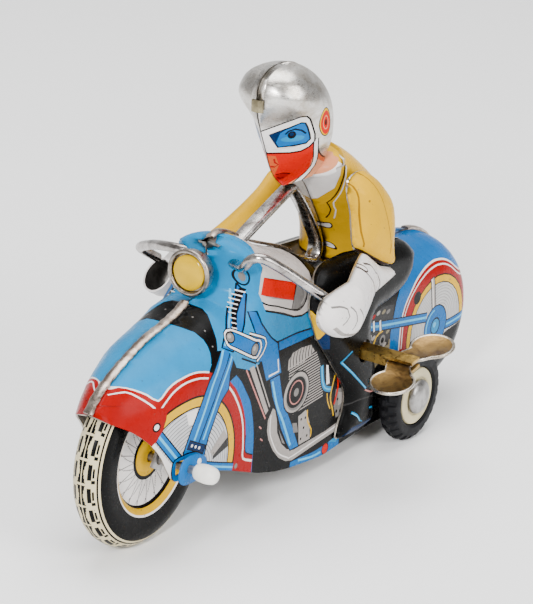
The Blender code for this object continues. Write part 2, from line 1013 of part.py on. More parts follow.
def build_front_wheel():
    half = [
        (1.4, 3.6),
        (3.4, 3.6),
        (4.6, 2.8),
        (12.6, 2.6),
        (13.8, 4.0),
        (15.2, 4.6),
        (18.8, 4.8),
        (20.4, 4.5),
        (22.2, 3.6),
        (23.4, 2.1),
        (FRONT_WHEEL_RADIUS, 0.7),
    ]
    profile = [(r, -x) for r, x in half] + half[::-1]
    wheel = turned("front_wheel", profile, (0.0, *FRONT_AXLE), 40, RUBBER)
    set_origin(wheel, 0.0, *FRONT_AXLE)
    axle = rod("front_axle", FRONT_AXLE, FRONT_AXLE_RADIUS, -14.2, 21.8, STEEL, 14)
    set_origin(axle, 0.0, *FRONT_AXLE)
    knob = [
        (0.0, 23.4),
        (1.7, 23.1),
        (2.2, 22.2),
        (2.4, 20.2),
        (2.2, 18.2),
        (1.8, 17.2),
        (1.4, 17.2),
        (1.4, 22.1),
        (0.0, 22.1),
    ]
    knob = turned("left_axle_knob", knob, (0.0, *FRONT_AXLE), 18, IVORY)
    set_origin(knob, 0.0, *FRONT_AXLE)


def along_fork(a, b, c):
    """Fork coordinates (across the rake, up the rake, along X) to the world."""
    y = a * math.cos(FORK_RAKE) + b * math.sin(FORK_RAKE)
    z = -a * math.sin(FORK_RAKE) + b * math.cos(FORK_RAKE)
    return (c, FRONT_AXLE[0] + y, FRONT_AXLE[1] + z)


def build_fork():
    inner, outer, crown = 5.6, 6.4, 32.0
    bend = [
        (-outer, -2.6),
        (-inner, -2.6),
        (-inner, crown),
        (inner, crown),
        (inner, -2.6),
        (outer, -2.6),
        (outer, crown + 0.8),
        (-outer, crown + 0.8),
    ]
    fork = plate(
        "front_fork",
        bend,
        [],
        -2.2,
        2.2,
        STEEL,
        lambda x, up, across: along_fork(across, up, x),
    )
    axle_hole = hole_cutter("fork_axle_hole", FRONT_AXLE, 1.4, -12.0, 12.0, 14)
    cut(fork, axle_hole)
    pin = plate(
        "fork_pin",
        ring((0.0, 0.0), 1.4, 14),
        [],
        crown + 0.4,
        crown + 5.0,
        STEEL,
        lambda a, b, up: along_fork(a, up, b),
        CUTTERS,
    )
    join = fork.modifiers.new("pin", "BOOLEAN")
    join.operation = "UNION"
    join.solver = "EXACT"
    join.object = pin
    set_origin(fork, 0.0, *FRONT_AXLE)
    plate(
        "steering_bracket",
        [(-2.4, -7.0), (2.4, -7.0), (2.4, 7.0), (-2.4, 7.0)],
        [ring((0.0, 0.0), 1.75, 14)],
        crown + 1.5,
        crown + 2.3,
        STEEL,
        lambda a, b, up: along_fork(a, up, b),
    )


build_front_wheel()
build_fork()


# ---------------------------------------------------------------- drive wheels


def build_drive_wheels():
    axle = rod("drive_axle", DRIVE_AXLE, DRIVE_AXLE_RADIUS, -21.4, 21.4, STEEL, 16)
    set_origin(axle, 0.0, *DRIVE_AXLE)
    lugs = 20
    steps = 2 * lugs
    for word, side in (("left", 1), ("right", -1)):
        tyre = [
            (8.3, 16.9),
            (9.6, DRIVE_TYRE_INNER_X),
            (11.6, 16.5),
            (12.6, 17.5),
            (12.9, 19.2),
            (12.6, 20.9),
            (11.6, 21.9),
            (9.6, DRIVE_TYRE_OUTER_X),
            (8.3, 21.5),
        ]
        rings = []
        vertices = []
        for r, x in tyre:
            rings.append(range(len(vertices), len(vertices) + steps))
            for i in range(steps):
                angle = 2 * math.pi * (i + (0.25 if i % 2 else -0.25)) / steps
                low = 0.7 if (r > 11.0 and i % 4 in (2, 3)) else 0.0
                vertices.append(
                    (
                        side * x,
                        DRIVE_AXLE[0] + (r - low) * math.cos(angle),
                        DRIVE_AXLE[1] + (r - low) * math.sin(angle),
                    )
                )
        faces = []
        for one, two in zip(rings, rings[1:] + rings[:1]):
            for i in range(steps):
                k = (i + 1) % steps
                faces.append((one[i], two[i], two[k], one[k]))
        made = place(f"{word}_tyre", vertices, faces, RUBBER)
        set_origin(made, 0.0, *DRIVE_AXLE)
        hub = [(1.8, 16.8), (8.0, 16.8), (8.0, 21.6), (5.4, 21.9), (5.2, 21.5), (1.8, 21.5)]
        made = turned(
            f"{word}_hub", [(r, side * x) for r, x in hub], (0.0, *DRIVE_AXLE), 24, CREAM
        )
        set_origin(made, 0.0, *DRIVE_AXLE)
        cap = [(0.0, 21.8), (4.9, 21.8), (4.7, 22.6), (3.4, 23.5), (0.0, 24.0)]
        made = turned(
            f"{word}_hub_cap", [(r, side * x) for r, x in cap], (0.0, *DRIVE_AXLE), 20, TARNISHED
        )
        set_origin(made, 0.0, *DRIVE_AXLE)


build_drive_wheels()


# ---------------------------------------------------------------- spring motor


def second_centre():
    """Where the second arbor meshes with both the great gear and the axle."""
    near = (GREAT_TEETH + PINION_TEETH) * GREAT_MODULE / 2 + MESH_SLACK
    far = (SECOND_TEETH + PINION_TEETH) * SECOND_MODULE / 2 + MESH_SLACK
    dy, dz = DRIVE_AXLE[0] - WINDING[0], DRIVE_AXLE[1] - WINDING[1]
    span = math.hypot(dy, dz)
    along = (near * near - far * far + span * span) / (2 * span)
    aside = math.sqrt(max(0.0, near * near - along * along))
    return (
        WINDING[0] + (dy * along - dz * aside) / span,
        WINDING[1] + (dz * along + dy * aside) / span,
    )


SECOND = second_centre()


def bearing(one, two):
    return math.atan2(two[1] - one[1], two[0] - one[0])


def gear(name, centre, teeth, module, phase, bore, low, high, surface):
    made = plate(
        name,
        gear_outline(centre, teeth, module, phase),
        [ring(centre, bore, 14)],
        low,
        high,
        surface,
    )
    set_origin(made, 0.0, *centre)
    return made


MOTOR_PLATE = [
    (-3.6, 29.0),
    (-3.6, 43.4),
    (6.0, 46.4),
    (26.0, 45.4),
    (33.4, 43.6),
    (47.0, 23.0),
    (47.0, 8.0),
    (34.0, 8.0),
    (20.0, 11.0),
]
PILLARS = ((-1.2, 41.0), (30.5, 41.6), (44.8, 19.6))
PLATE_X = (8.1, 8.9)


def build_motor():
    for word, side in (("left", 1), ("right", -1)):
        holes = [
            ring(WINDING, WINDING_RADIUS + 0.3, 14),
            ring(SECOND, SECOND_RADIUS + 0.3, 14),
            ring(DRIVE_AXLE, DRIVE_AXLE_RADIUS + 0.3, 14),
        ]
        holes += [ring(pillar, 0.9, 10) for pillar in PILLARS]
        low, high = sorted((side * PLATE_X[0], side * PLATE_X[1]))
        plate(f"motor_plate_{word}", MOTOR_PLATE, holes, low, high, STEEL)
    for number, pillar in enumerate(PILLARS, 1):
        shoulder = PLATE_X[0] - GAP
        profile = [
            (0.0, -PLATE_X[1]),
            (0.6, -PLATE_X[1]),
            (0.6, -shoulder),
            (1.4, -shoulder),
            (1.4, shoulder),
            (0.6, shoulder),
            (0.6, PLATE_X[1]),
            (0.0, PLATE_X[1]),
        ]
        turned(f"motor_pillar_{number}", profile, (0.0, *pillar), 10, STEEL)
    towards_second = bearing(WINDING, SECOND)
    from_second = bearing(SECOND, WINDING)
    towards_drive = bearing(SECOND, DRIVE_AXLE)
    from_drive = bearing(DRIVE_AXLE, SECOND)
    gear(
        "great_gear",
        WINDING,
        GREAT_TEETH,
        GREAT_MODULE,
        towards_second,
        WINDING_RADIUS + GAP,
        2.2,
        4.0,
        BRASS,
    )
    gear(
        "second_pinion",
        SECOND,
        PINION_TEETH,
        GREAT_MODULE,
        from_second + math.pi / PINION_TEETH,
        SECOND_RADIUS + GAP,
        1.9,
        4.3,
        STEEL,
    )
    gear(
        "second_gear",
        SECOND,
        SECOND_TEETH,
        SECOND_MODULE,
        towards_drive,
        SECOND_RADIUS + GAP,
        5.0,
        6.4,
        BRASS,
    )
    gear(
        "drive_pinion",
        DRIVE_AXLE,
        PINION_TEETH,
        SECOND_MODULE,
        from_drive + math.pi / PINION_TEETH,
        DRIVE_AXLE_RADIUS + 0.2,
        4.7,
        6.9,
        STEEL,
    )
    arbor = rod("second_arbor", SECOND, SECOND_RADIUS, -9.6, 9.6, STEEL, 14)
    set_origin(arbor, 0.0, *SECOND)
    arbor = rod("winding_arbor", WINDING, WINDING_RADIUS, -9.8, 15.0, STEEL, 16)
    set_origin(arbor, 0.0, *WINDING)


def build_mainspring():
    """A flat spiral, its inner end by the arbor and its outer end by a pillar."""
    inner, outer, turns, thick = 2.5, 9.6, 4.0, 0.35
    steps = 64
    low, high = -7.4, 0.8
    vertices = []
    for i in range(steps + 1):
        t = i / steps
        angle = 2.2 - 2 * math.pi * turns * t
        radius = inner + (outer - inner) * t
        for r, x in (
            (radius, low),
            (radius + thick, low),
            (radius + thick, high),
            (radius, high),
        ):
            vertices.append(
                (x, WINDING[0] + r * math.cos(angle), WINDING[1] + r * math.sin(angle))
            )
    faces = [(0, 1, 2, 3), tuple(range(4 * steps, 4 * steps + 4))]
    for i in range(steps):
        for k in range(4):
            n = (k + 1) % 4
            faces.append((i * 4 + k, i * 4 + n, (i + 1) * 4 + n, (i + 1) * 4 + k))
    place("mainspring", vertices, faces, STEEL)


KEY_TILT = math.radians(10.7)
KEY_SLOT_X = 26.3
LOBE_CENTRE = (10.3, 33.3)
LOBE_RADIUS = 6.1


def build_key():
    """A shaft with a slotted end, and a plate with two round wings in the slot."""

    def turned_key(a, b, c):
        y = a * math.cos(KEY_TILT) - c * math.sin(KEY_TILT)
        z = a * math.sin(KEY_TILT) + c * math.cos(KEY_TILT)
        return (b, WINDING[0] + y, WINDING[1] + z)

    outer, slot = 1.5, 0.7
    cheeks = [
        (15.3, -outer),
        (KEY_TIP_X, -outer),
        (KEY_TIP_X, -slot),
        (KEY_SLOT_X, -slot),
        (KEY_SLOT_X, slot),
        (KEY_TIP_X, slot),
        (KEY_TIP_X, outer),
        (15.3, outer),
    ]
    shaft = plate(
        "key_shaft", cheeks, [], -1.9, 1.9, BRASS, lambda x, c, a: turned_key(a, x, c)
    )
    set_origin(shaft, 0.0, *WINDING)
    lobe = [(2.0, KEY_SLOT_X + 0.5)]
    lobe += arc(LOBE_CENTRE, LOBE_RADIUS, -130.0, 150.0, 15)
    lobe += [(2.0, KEY_TIP_X - 0.6)]
    outline = lobe + [(-a, x) for a, x in lobe[::-1]]
    wings = plate("key_wings", outline, [], -0.4, 0.4, TARNISHED, turned_key)
    set_origin(wings, 0.0, *WINDING)


# The widest points are a wing of the key and the right hand, so the middle of
# the whole object lies off the seam plane.
SEAM_PLANE_X = -4.55
ROW_SHIFT_Y = -0.1


def centre_on_base():
    for thing in list(PARTS.objects) + list(CUTTERS.objects):
        thing.location.x += SEAM_PLANE_X * MM
        thing.location.y += ROW_SHIFT_Y * MM


build_motor()
build_mainspring()
build_key()
centre_on_base()
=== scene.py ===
"""Looks of the wind-up tin motorcycle with its rider.

Sizes are in millimetres: x to the toy's left of the seam plane, y rearward and z up from
the ground. Points in the side plane are (y, z). `world` turns a point into the frame's
metres. Printed tin is a mesh whose edges follow the print, so each ink has its own faces.
"""

import math

import bmesh
import bpy
import numpy as np
from mathutils import Matrix, Vector
from mathutils.geometry import delaunay_2d_cdt

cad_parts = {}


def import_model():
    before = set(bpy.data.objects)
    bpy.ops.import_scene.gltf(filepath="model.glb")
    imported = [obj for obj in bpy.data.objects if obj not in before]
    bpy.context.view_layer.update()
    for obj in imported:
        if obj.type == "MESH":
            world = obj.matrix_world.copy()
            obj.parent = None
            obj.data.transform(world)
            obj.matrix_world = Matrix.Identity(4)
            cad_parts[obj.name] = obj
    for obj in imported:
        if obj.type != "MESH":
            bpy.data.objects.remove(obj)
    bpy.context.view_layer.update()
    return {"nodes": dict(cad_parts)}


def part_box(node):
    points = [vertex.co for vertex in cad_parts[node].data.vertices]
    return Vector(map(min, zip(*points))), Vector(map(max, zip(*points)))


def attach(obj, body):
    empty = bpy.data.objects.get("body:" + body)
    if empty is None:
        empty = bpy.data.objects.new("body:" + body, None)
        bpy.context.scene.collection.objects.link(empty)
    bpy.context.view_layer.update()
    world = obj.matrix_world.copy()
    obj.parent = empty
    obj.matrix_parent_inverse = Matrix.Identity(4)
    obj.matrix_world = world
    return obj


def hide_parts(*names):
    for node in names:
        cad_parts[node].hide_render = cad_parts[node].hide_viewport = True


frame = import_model()

MM = 0.001
TIN = 0.5
SEAM_HALF_GAP = 0.15
FRONT_AXLE = (-61.0, 23.9)
DRIVE_AXLE = (39.0, 12.9)
WINDING = (14.0, 33.0)
REAR_HUB = (61.5, 26.8)
LAMP_CENTRE = (0.0, -36.6, 66.0)
BODY_HALF_WIDTH = 14.3
BODY_EDGE_RADIUS = 11.0
CAMERA_PLACE = (366.70, -593.59, 309.74)
CAMERA_TURN = math.radians(32.28)
CAMERA_DROP = math.radians(20.65)
CAMERA_ROLL = math.radians(3.0)
CAMERA_LENS = 171.04


def middle_of(node):
    low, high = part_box(node)
    return (low + high) / 2


WHEEL = middle_of("front_wheel")
SEAM_X = WHEEL.x
SHIFT_Y = WHEEL.y - FRONT_AXLE[0] * MM


def world(x, y, z):
    return Vector((x * MM + SEAM_X, y * MM + SHIFT_Y, z * MM))


# ---------------------------------------------------------------- materials


def shader_of(name, metallic=0.0, gloss=0.5, coat=0.0):
    made = bpy.data.materials.new(name)
    made.use_nodes = True
    shader = made.node_tree.nodes["Principled BSDF"]
    shader.inputs["Metallic"].default_value = metallic
    shader.inputs["IOR"].default_value = 1.5
    shader.inputs["Specular IOR Level"].default_value = gloss
    shader.inputs["Coat Weight"].default_value = coat
    shader.inputs["Coat Roughness"].default_value = 0.12
    return made, made.node_tree, shader


def noise(tree, scale, detail=3.0, roughness=0.6, stretch=(1.0, 1.0, 1.0), distortion=0.0):
    """A noise texture in object space, at so many features per metre."""
    place = tree.nodes.new("ShaderNodeTexCoord")
    shape = tree.nodes.new("ShaderNodeMapping")
    shape.inputs["Scale"].default_value = stretch
    texture = tree.nodes.new("ShaderNodeTexNoise")
    texture.inputs["Scale"].default_value = scale
    texture.inputs["Detail"].default_value = detail
    texture.inputs["Roughness"].default_value = roughness
    texture.inputs["Distortion"].default_value = distortion
    tree.links.new(place.outputs["Object"], shape.inputs["Vector"])
    tree.links.new(shape.outputs["Vector"], texture.inputs["Vector"])
    return texture.outputs["Fac"]


def ramp(tree, source, start, dark, end, light):
    """A colour that goes from dark to light while the source goes from start to end."""
    made = tree.nodes.new("ShaderNodeValToRGB")
    first, last = made.color_ramp.elements
    first.position, first.color = start, (*dark, 1.0)
    last.position, last.color = end, (*light, 1.0)
    tree.links.new(source, made.inputs["Fac"])
    return made.outputs["Color"]


def spread(tree, source, low, high, start=0.3, end=0.7):
    """A value that goes from low to high while the source goes from start to end."""
    made = tree.nodes.new("ShaderNodeMapRange")
    made.inputs["From Min"].default_value = start
    made.inputs["From Max"].default_value = end
    made.inputs["To Min"].default_value = low
    made.inputs["To Max"].default_value = high
    tree.links.new(source, made.inputs["Value"])
    return made.outputs["Result"]


def mixed(tree, share, under, over):
    """A plain colour laid over another one by a share."""
    made = tree.nodes.new("ShaderNodeMix")
    made.data_type = "RGBA"
    tree.links.new(share, made.inputs["Factor"])
    tree.links.new(under, made.inputs[6])
    made.inputs[7].default_value = (*over, 1.0)
    return made.outputs[2]


def shade(colour, factor):
    return tuple(min(1.0, channel * factor) for channel in colour)


def clouded(tree, colour, scale, detail, low, high, end=0.7):
    """A colour that drifts between a darker and a lighter shade of itself."""
    cloud = noise(tree, scale, detail)
    return ramp(tree, cloud, 0.3, shade(colour, low), end, shade(colour, high))


def dress(tree, shader, colour, roughness, grain, height, strength):
    """Gives a shader its colour, its roughness and a bump of so many millimetres."""
    made = tree.nodes.new("ShaderNodeBump")
    made.inputs["Distance"].default_value = height * MM
    made.inputs["Strength"].default_value = strength
    tree.links.new(grain, made.inputs["Height"])
    tree.links.new(made.outputs["Normal"], shader.inputs["Normal"])
    tree.links.new(colour, shader.inputs["Base Color"])
    tree.links.new(roughness, shader.inputs["Roughness"])


def print_ink(name, colour, worn):
    """Printed tin: even ink with faint mottling and small worn chips, under a varnish."""
    made, tree, shader = shader_of(name, gloss=0.07)
    mottle = clouded(tree, colour, 160.0, 4.0, 0.90, 1.06)
    chips = spread(tree, noise(tree, 900.0, 2.0), 0.0, 0.75, 0.71, 0.75)
    rough = spread(tree, noise(tree, 420.0), 0.21, 0.37)
    dress(tree, shader, mixed(tree, chips, mottle, worn), rough, noise(tree, 260.0, 2.0), 0.035, 0.5)
    return made


def bare_metal(name, light, dark, roughness, stretch=(1.0, 1.0, 1.0)):
    """Metal with cloudy tarnish, fine scratches and uneven polish."""
    made, tree, shader = shader_of(name, metallic=1.0)
    cloud = noise(tree, 220.0, 5.0, 0.65, distortion=0.6)
    scratch = noise(tree, 900.0, 3.0, 0.7, stretch)
    rough = spread(tree, scratch, roughness - 0.09, roughness + 0.14)
    dress(tree, shader, ramp(tree, cloud, 0.36, dark, 0.62, light), rough, scratch, 0.03, 0.5)
    return made


def moulded(name, colour, roughness, grain, gloss):
    """Plastic or rubber with a faint cloud and a fine grain."""
    made, tree, shader = shader_of(name, gloss=gloss)
    cloud = clouded(tree, colour, 130.0, 4.0, 0.82, 1.12, 0.72)
    rough = spread(tree, noise(tree, 500.0), roughness - 0.08, roughness + 0.1)
    dress(tree, shader, cloud, rough, noise(tree, 1500.0, 2.0), grain, 0.6)
    return made


def clear_glaze(name, colour):
    """The yellow lamp front: a tinted, slightly cloudy, glossy cap."""
    made, tree, shader = shader_of(name, gloss=0.15, coat=0.1)
    cloud = clouded(tree, colour, 180.0, 3.0, 0.85, 1.1, 0.75)
    rough = spread(tree, noise(tree, 600.0), 0.08, 0.2)
    dress(tree, shader, cloud, rough, noise(tree, 300.0), 0.05, 0.5)
    return made


def ringed_ink(name, centre, pitch, light, dark):
    """Silver ink with fine printed rings about a point in the side plane."""
    made, tree, shader = shader_of(name, gloss=0.1)
    place = tree.nodes.new("ShaderNodeTexCoord")
    from_hub = tree.nodes.new("ShaderNodeVectorMath")
    from_hub.operation = "SUBTRACT"
    from_hub.inputs[1].default_value = world(0.0, *centre)
    flat = tree.nodes.new("ShaderNodeVectorMath")
    flat.operation = "MULTIPLY"
    flat.inputs[1].default_value = (0.0, 1.0, 1.0)
    size = tree.nodes.new("ShaderNodeVectorMath")
    size.operation = "LENGTH"
    turn = tree.nodes.new("ShaderNodeMath")
    turn.operation = "PINGPONG"
    turn.inputs[1].default_value = pitch * MM / 2
    tree.links.new(place.outputs["Object"], from_hub.inputs[0])
    tree.links.new(from_hub.outputs["Vector"], flat.inputs[0])
    tree.links.new(flat.outputs["Vector"], size.inputs[0])
    tree.links.new(size.outputs["Value"], turn.inputs[0])
    line = spread(tree, turn.outputs["Value"], 0.0, 1.0, pitch * MM * 0.34, pitch * MM * 0.46)
    tone = mixed(tree, line, clouded(tree, light, 200.0, 3.0, 0.86, 1.0), dark)
    rough = spread(tree, noise(tree, 400.0), 0.24, 0.40)
    dress(tree, shader, tone, rough, noise(tree, 260.0, 2.0), 0.03, 0.5)
    return made


WORN = (0.06, 0.05, 0.04)
WORN_BLACK = (0.03, 0.027, 0.025)
INK_COLOURS = {
    "blue": (0.000, 0.105, 0.330),
    "bright_blue": (0.000, 0.185, 0.400),
    "pale_blue": (0.080, 0.400, 0.640),
    "dark_blue": (0.000, 0.014, 0.060),
    "red": (0.260, 0.001, 0.001),
    "bright_red": (0.480, 0.004, 0.000),
    "pink": (0.420, 0.160, 0.140),
    "yellow": (0.600, 0.340, 0.000),
    "jacket": (0.580, 0.320, 0.000),
    "ochre": (0.240, 0.105, 0.000),
    "black": (0.002, 0.002, 0.002),
    "line": (0.004, 0.003, 0.003),
    "white": (0.700, 0.665, 0.645),
    "pearl": (0.480, 0.435, 0.410),
    "flesh": (0.560, 0.220, 0.110),
    "orange": (0.460, 0.070, 0.015),
    "grey": (0.150, 0.140, 0.132),
    "dark_grey": (0.025, 0.024, 0.024),
    "light_grey": (0.290, 0.262, 0.242),
    "tan": (0.180, 0.150, 0.090),
    "brown": (0.025, 0.010, 0.004),
}
INKS = {
    word: print_ink(f"ink_{word}", colour, WORN_BLACK if word == "black" else WORN)
    for word, colour in INK_COLOURS.items()
}
INKS["cream"] = print_ink("ink_cream", (0.580, 0.500, 0.310), WORN)
INKS[
    "silver_front"] = ringed_ink("ink_silver_front", (-57.0, 22.0), 0.95, (0.46, 0.46, 0.47),
    (0.06, 0.06, 0.065),
)
INKS[
    "silver_rear"] = ringed_ink("ink_silver_rear", REAR_HUB, 0.85, (0.46, 0.45, 0.44),
    (0.17, 0.16, 0.155),
)
INKS["tin"] = bare_metal("tin_inside", (0.50, 0.47, 0.42), (0.30, 0.26, 0.21), 0.36)
INKS["helmet"] = bare_metal("helmet_tin", (0.66, 0.64, 0.61), (0.44, 0.40, 0.35), 0.30, (1.0, 1.0, 6.0))
BRIGHT_TIN = bare_metal("bright_tin_band", (0.70, 0.68, 0.66), (0.30, 0.27, 0.25), 0.22)
TARNISHED = bare_metal("tarnished_tin_fold", (0.52, 0.44, 0.38), (0.20, 0.15, 0.12), 0.30)
TAB_TIN = bare_metal("tab_tin", (0.30, 0.26, 0.16), (0.12, 0.10, 0.06), 0.34)
LAMP_TIN = bare_metal("lamp_shell_tin", (0.42, 0.37, 0.32), (0.12, 0.10, 0.085), 0.30)
WING_TIN = bare_metal("key_wing_brass", (0.36, 0.22, 0.07), (0.15, 0.085, 0.03), 0.36)
RIM_TIN = bare_metal("key_rim_tin", (0.62, 0.57, 0.50), (0.30, 0.25, 0.19), 0.26)
BRASS = bare_metal("brass_shaft", (0.60, 0.38, 0.09), (0.28, 0.17, 0.05), 0.32)
STEEL = bare_metal("plain_steel", (0.42, 0.41, 0.40), (0.18, 0.17, 0.16), 0.34)
DARK_STEEL = bare_metal("motor_steel", (0.20, 0.19, 0.18), (0.07, 0.065, 0.06), 0.45)
BAR_TIN = bare_metal("handlebar_wire", (0.50, 0.47, 0.45), (0.20, 0.18, 0.17), 0.22)
RUBBER = moulded("tyre_rubber", (0.006, 0.006, 0.007), 0.5, 0.05, 0.1)
HUB_CREAM = moulded("hub_cream", (0.56, 0.49, 0.29), 0.42, 0.02, 0.25)
KNOB_IVORY = moulded("knob_ivory", (0.82, 0.80, 0.74), 0.34, 0.015, 0.3)
GLASS = clear_glaze("lamp_yellow", (0.62, 0.38, 0.000))


# ---------------------------------------------------------------- flat shapes


def curve_value(a, b, c, d, t):
    """One coordinate of a smooth curve from b to c, at a share t of the way."""
    bend = 2 * a - 5 * b + 4 * c - d
    return 0.5 * (2 * b + (c - a) * t + bend * t * t + (3 * b - a - 3 * c + d) * t**3)


def smooth_path(path, step=1.6, closed=False):
    """A smooth curve through the path's points."""
    count = len(path)
    out = []
    for i in range(count if closed else count - 1):
        before = path[i - 1] if (closed or i > 0) else path[0]
        start, end = path[i], path[(i + 1) % count]
        after = path[(i + 2) % count] if (closed or i + 2 < count) else path[-1]
        pieces = max(1, round(math.dist(start, end) / step))
        for k in range(pieces):
            four = zip(before, start, end, after)
            out.append(tuple(curve_value(*values, k / pieces) for values in four))
    if not closed:
        out.append(path[-1])
    return out


def arc(centre, radius, start_deg, end_deg, count):
    """Points on a circle in the side plane; 0 is rearward and 90 is up."""
    out = []
    for i in range(count):
        angle = math.radians(start_deg + (end_deg - start_deg) * i / (count - 1))
        out.append((centre[0] + radius * math.cos(angle), centre[1] + radius * math.sin(angle)))
    return out


def circle_section(radius, sides):
    """Points round a circle about the origin."""
    angles = [2 * math.pi * i / sides for i in range(sides)]
    return [(radius * math.cos(angle), radius * math.sin(angle)) for angle in angles]


def oval(centre, half_y, half_z, tilt=0.0, count=28):
    """An ellipse, tilted by so many degrees."""
    cosine, sine = math.cos(math.radians(tilt)), math.sin(math.radians(tilt))
    out = []
    for across, up in circle_section(1.0, count):
        a, b = half_y * across, half_z * up
        out.append((centre[0] + a * cosine - b * sine, centre[1] + a * sine + b * cosine))
    return out


SLOPE_STEP = 0.15
STEEPEST = 4.0


def squeeze(height, y, z, ny, nz):
    """How much a length along (ny, nz) shrinks in the side plane on a sloping face."""
    if height is None:
        return 1.0
    ends_y = np.array([y + ny * SLOPE_STEP, y - ny * SLOPE_STEP])
    ends_z = np.array([z + nz * SLOPE_STEP, z - nz * SLOPE_STEP])
    first, last = height(ends_y, ends_z)
    rise = min(STEEPEST, abs(float(first - last)) / (2 * SLOPE_STEP))
    return 1 / math.hypot(1.0, rise)


def slope_angle(height, y, z):
    """The direction in the side plane in which a face rises, in radians."""
    if height is None:
        return 0.0
    near_y = np.array([y + SLOPE_STEP, y - SLOPE_STEP, y, y])
    near_z = np.array([z, z, z + SLOPE_STEP, z - SLOPE_STEP])
    behind, ahead, above, below = height(near_y, near_z)
    return math.atan2(float(above - below), float(behind - ahead))


class Art:
    """Printed areas in order, each later one over those before it.

    Widths and discs are measured on the curved tin, whose height is given.
    """

    def __init__(self, base, height=None):
        self.base = base
        self.height = height
        self.areas = []

    def inks(self):
        return [self.base] + sorted({ink for ink, _ in self.areas} - {self.base})

    def strip(self, path, width, end_width):
        """The outline of a printed line along a path, from one width to the other."""
        left, right = [], []
        for i, (y, z) in enumerate(path):
            a, b = path[max(i - 1, 0)], path[min(i + 1, len(path) - 1)]
            length = max(math.dist(a, b), 1e-9)
            ny, nz = -(b[1] - a[1]) / length, (b[0] - a[0]) / length
            half = 0.5 * (width + (end_width - width) * i / max(1, len(path) - 1))
            half *= squeeze(self.height, y, z, ny, nz)
            left.append((y + ny * half, z + nz * half))
            right.append((y - ny * half, z - nz * half))
        return left + right[::-1]

    def fill(self, ink, *points, smooth=False):
        outline = smooth_path(points, 1.2, closed=True) if smooth else list(points)
        self.areas.append((ink, outline))

    def line(self, ink, width, *points, curved=True, end_width=None):
        path = smooth_path(points, 1.4) if curved and len(points) > 2 else points
        self.areas.append((ink, self.strip(path, width, end_width or width)))

    def disc(self, ink, centre, radius, count=28):
        tilt = slope_angle(self.height, *centre)
        along = squeeze(self.height, *centre, math.cos(tilt), math.sin(tilt))
        self.areas.append((ink, oval(centre, radius * along, radius, math.degrees(tilt), count)))

    def ellipse(self, ink, centre, half_y, half_z, tilt=0.0):
        self.areas.append((ink, oval(centre, half_y, half_z, tilt)))

    def edged(self, ink, edge, *points, smooth=False):
        """A filled area with a printed black outline."""
        self.fill(ink, *points, smooth=smooth)
        outline = self.areas[-1][1]
        self.line("line", edge, *outline, *outline[:2], curved=False)

    def tube(self, width, *points, ink="blue", light="pale_blue"):
        """A printed tube: dark edges, colour, and a highlight along it."""
        self.line("line", width + 0.7, *points)
        self.line(ink, width, *points)
        self.line(light, width * 0.28, *points)


def winding_number(outline, points):
    """How often a closed outline goes round each of the points."""
    turns = np.zeros(len(points), int)
    y, z = points[:, 0], points[:, 1]
    for (y0, z0), (y1, z1) in zip(outline, outline[1:] + outline[:1]):
        side = (y1 - y0) * (z - z0) - (y - y0) * (z1 - z0)
        turns += ((z0 <= z) & (z1 > z) & (side > 0)).astype(int)
        turns -= ((z0 > z) & (z1 <= z) & (side < 0)).astype(int)
    return turns


def covered(outline, points):
    """Which points lie in a closed outline, with a quick test of its box first."""
    box = np.array(outline)
    near = ((points >= box.min(axis=0)) & (points <= box.max(axis=0))).all(axis=1)
    found = np.zeros(len(points), bool)
    found[near] = winding_number(outline, points[near]) != 0
    return found


def edge_distance(path, y, z):
    """Distance from each point to an open path."""
    best = np.full(y.shape, 1e9)
    for (y0, z0), (y1, z1) in zip(path, path[1:]):
        dy, dz = y1 - y0, z1 - z0
        size = max(dy * dy + dz * dz, 1e-12)
        t = np.clip(((y - y0) * dy + (z - z0) * dz) / size, 0.0, 1.0)
        best = np.minimum(best, np.hypot(y - y0 - t * dy, z - z0 - t * dz))
    return best


def dome(depth, radius):
    """A quarter-round rise from 0 at an edge to 1 at the given radius."""
    t = np.clip(depth / radius, 0.0, 1.0)
    return np.sqrt(np.maximum(0.0, 1 - (1 - t) ** 2))


def smooth_step(low, high, value):
    t = np.clip((value - low) / (high - low), 0.0, 1.0)
    return t * t * (3 - 2 * t)


# ---------------------------------------------------------------- mesh builders


def add_piece(mesh, body, slot, *replaced):
    made = bpy.data.objects.new(mesh.name, mesh)
    bpy.context.scene.collection.objects.link(made)
    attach(made, body)
    if replaced:
        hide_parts(*replaced)


def sheet_points(outline, edge, spacing, rows):
    """Points inside an outline: a grid, and rows that follow its rounded edge."""
    box = np.array(outline)
    low, high = box.min(axis=0), box.max(axis=0)
    grid = []
    for k, z in enumerate(np.arange(low[1] + 0.4 * spacing, high[1], spacing * 0.87)):
        start = low[0] + (0.5 * spacing if k % 2 else 0.0)
        grid += [(y, z) for y in np.arange(start, high[0], spacing)]
    points = np.array(grid)
    clear = edge_distance(edge, points[:, 0], points[:, 1]) > max(rows) + 0.4 * spacing
    kept = [points[clear]]
    dense = smooth_path(edge, spacing * 0.9)
    for depth in rows:
        row = []
        for start, end in zip(dense, dense[1:]):
            length = max(math.dist(start, end), 1e-6)
            ny, nz = (end[1] - start[1]) / length, (start[0] - end[0]) / length
            for sign in (1, -1):
                row.append((start[0] + sign * ny * depth, start[1] + sign * nz * depth))
        row = np.array(row)
        apart = edge_distance(edge, row[:, 0], row[:, 1]) > 0.9 * depth
        kept.append(row[apart])
    points = np.concatenate(kept)
    rim = edge_distance(outline + outline[:1], points[:, 0], points[:, 1])
    return points[covered(outline, points) & (rim > 0.12)]


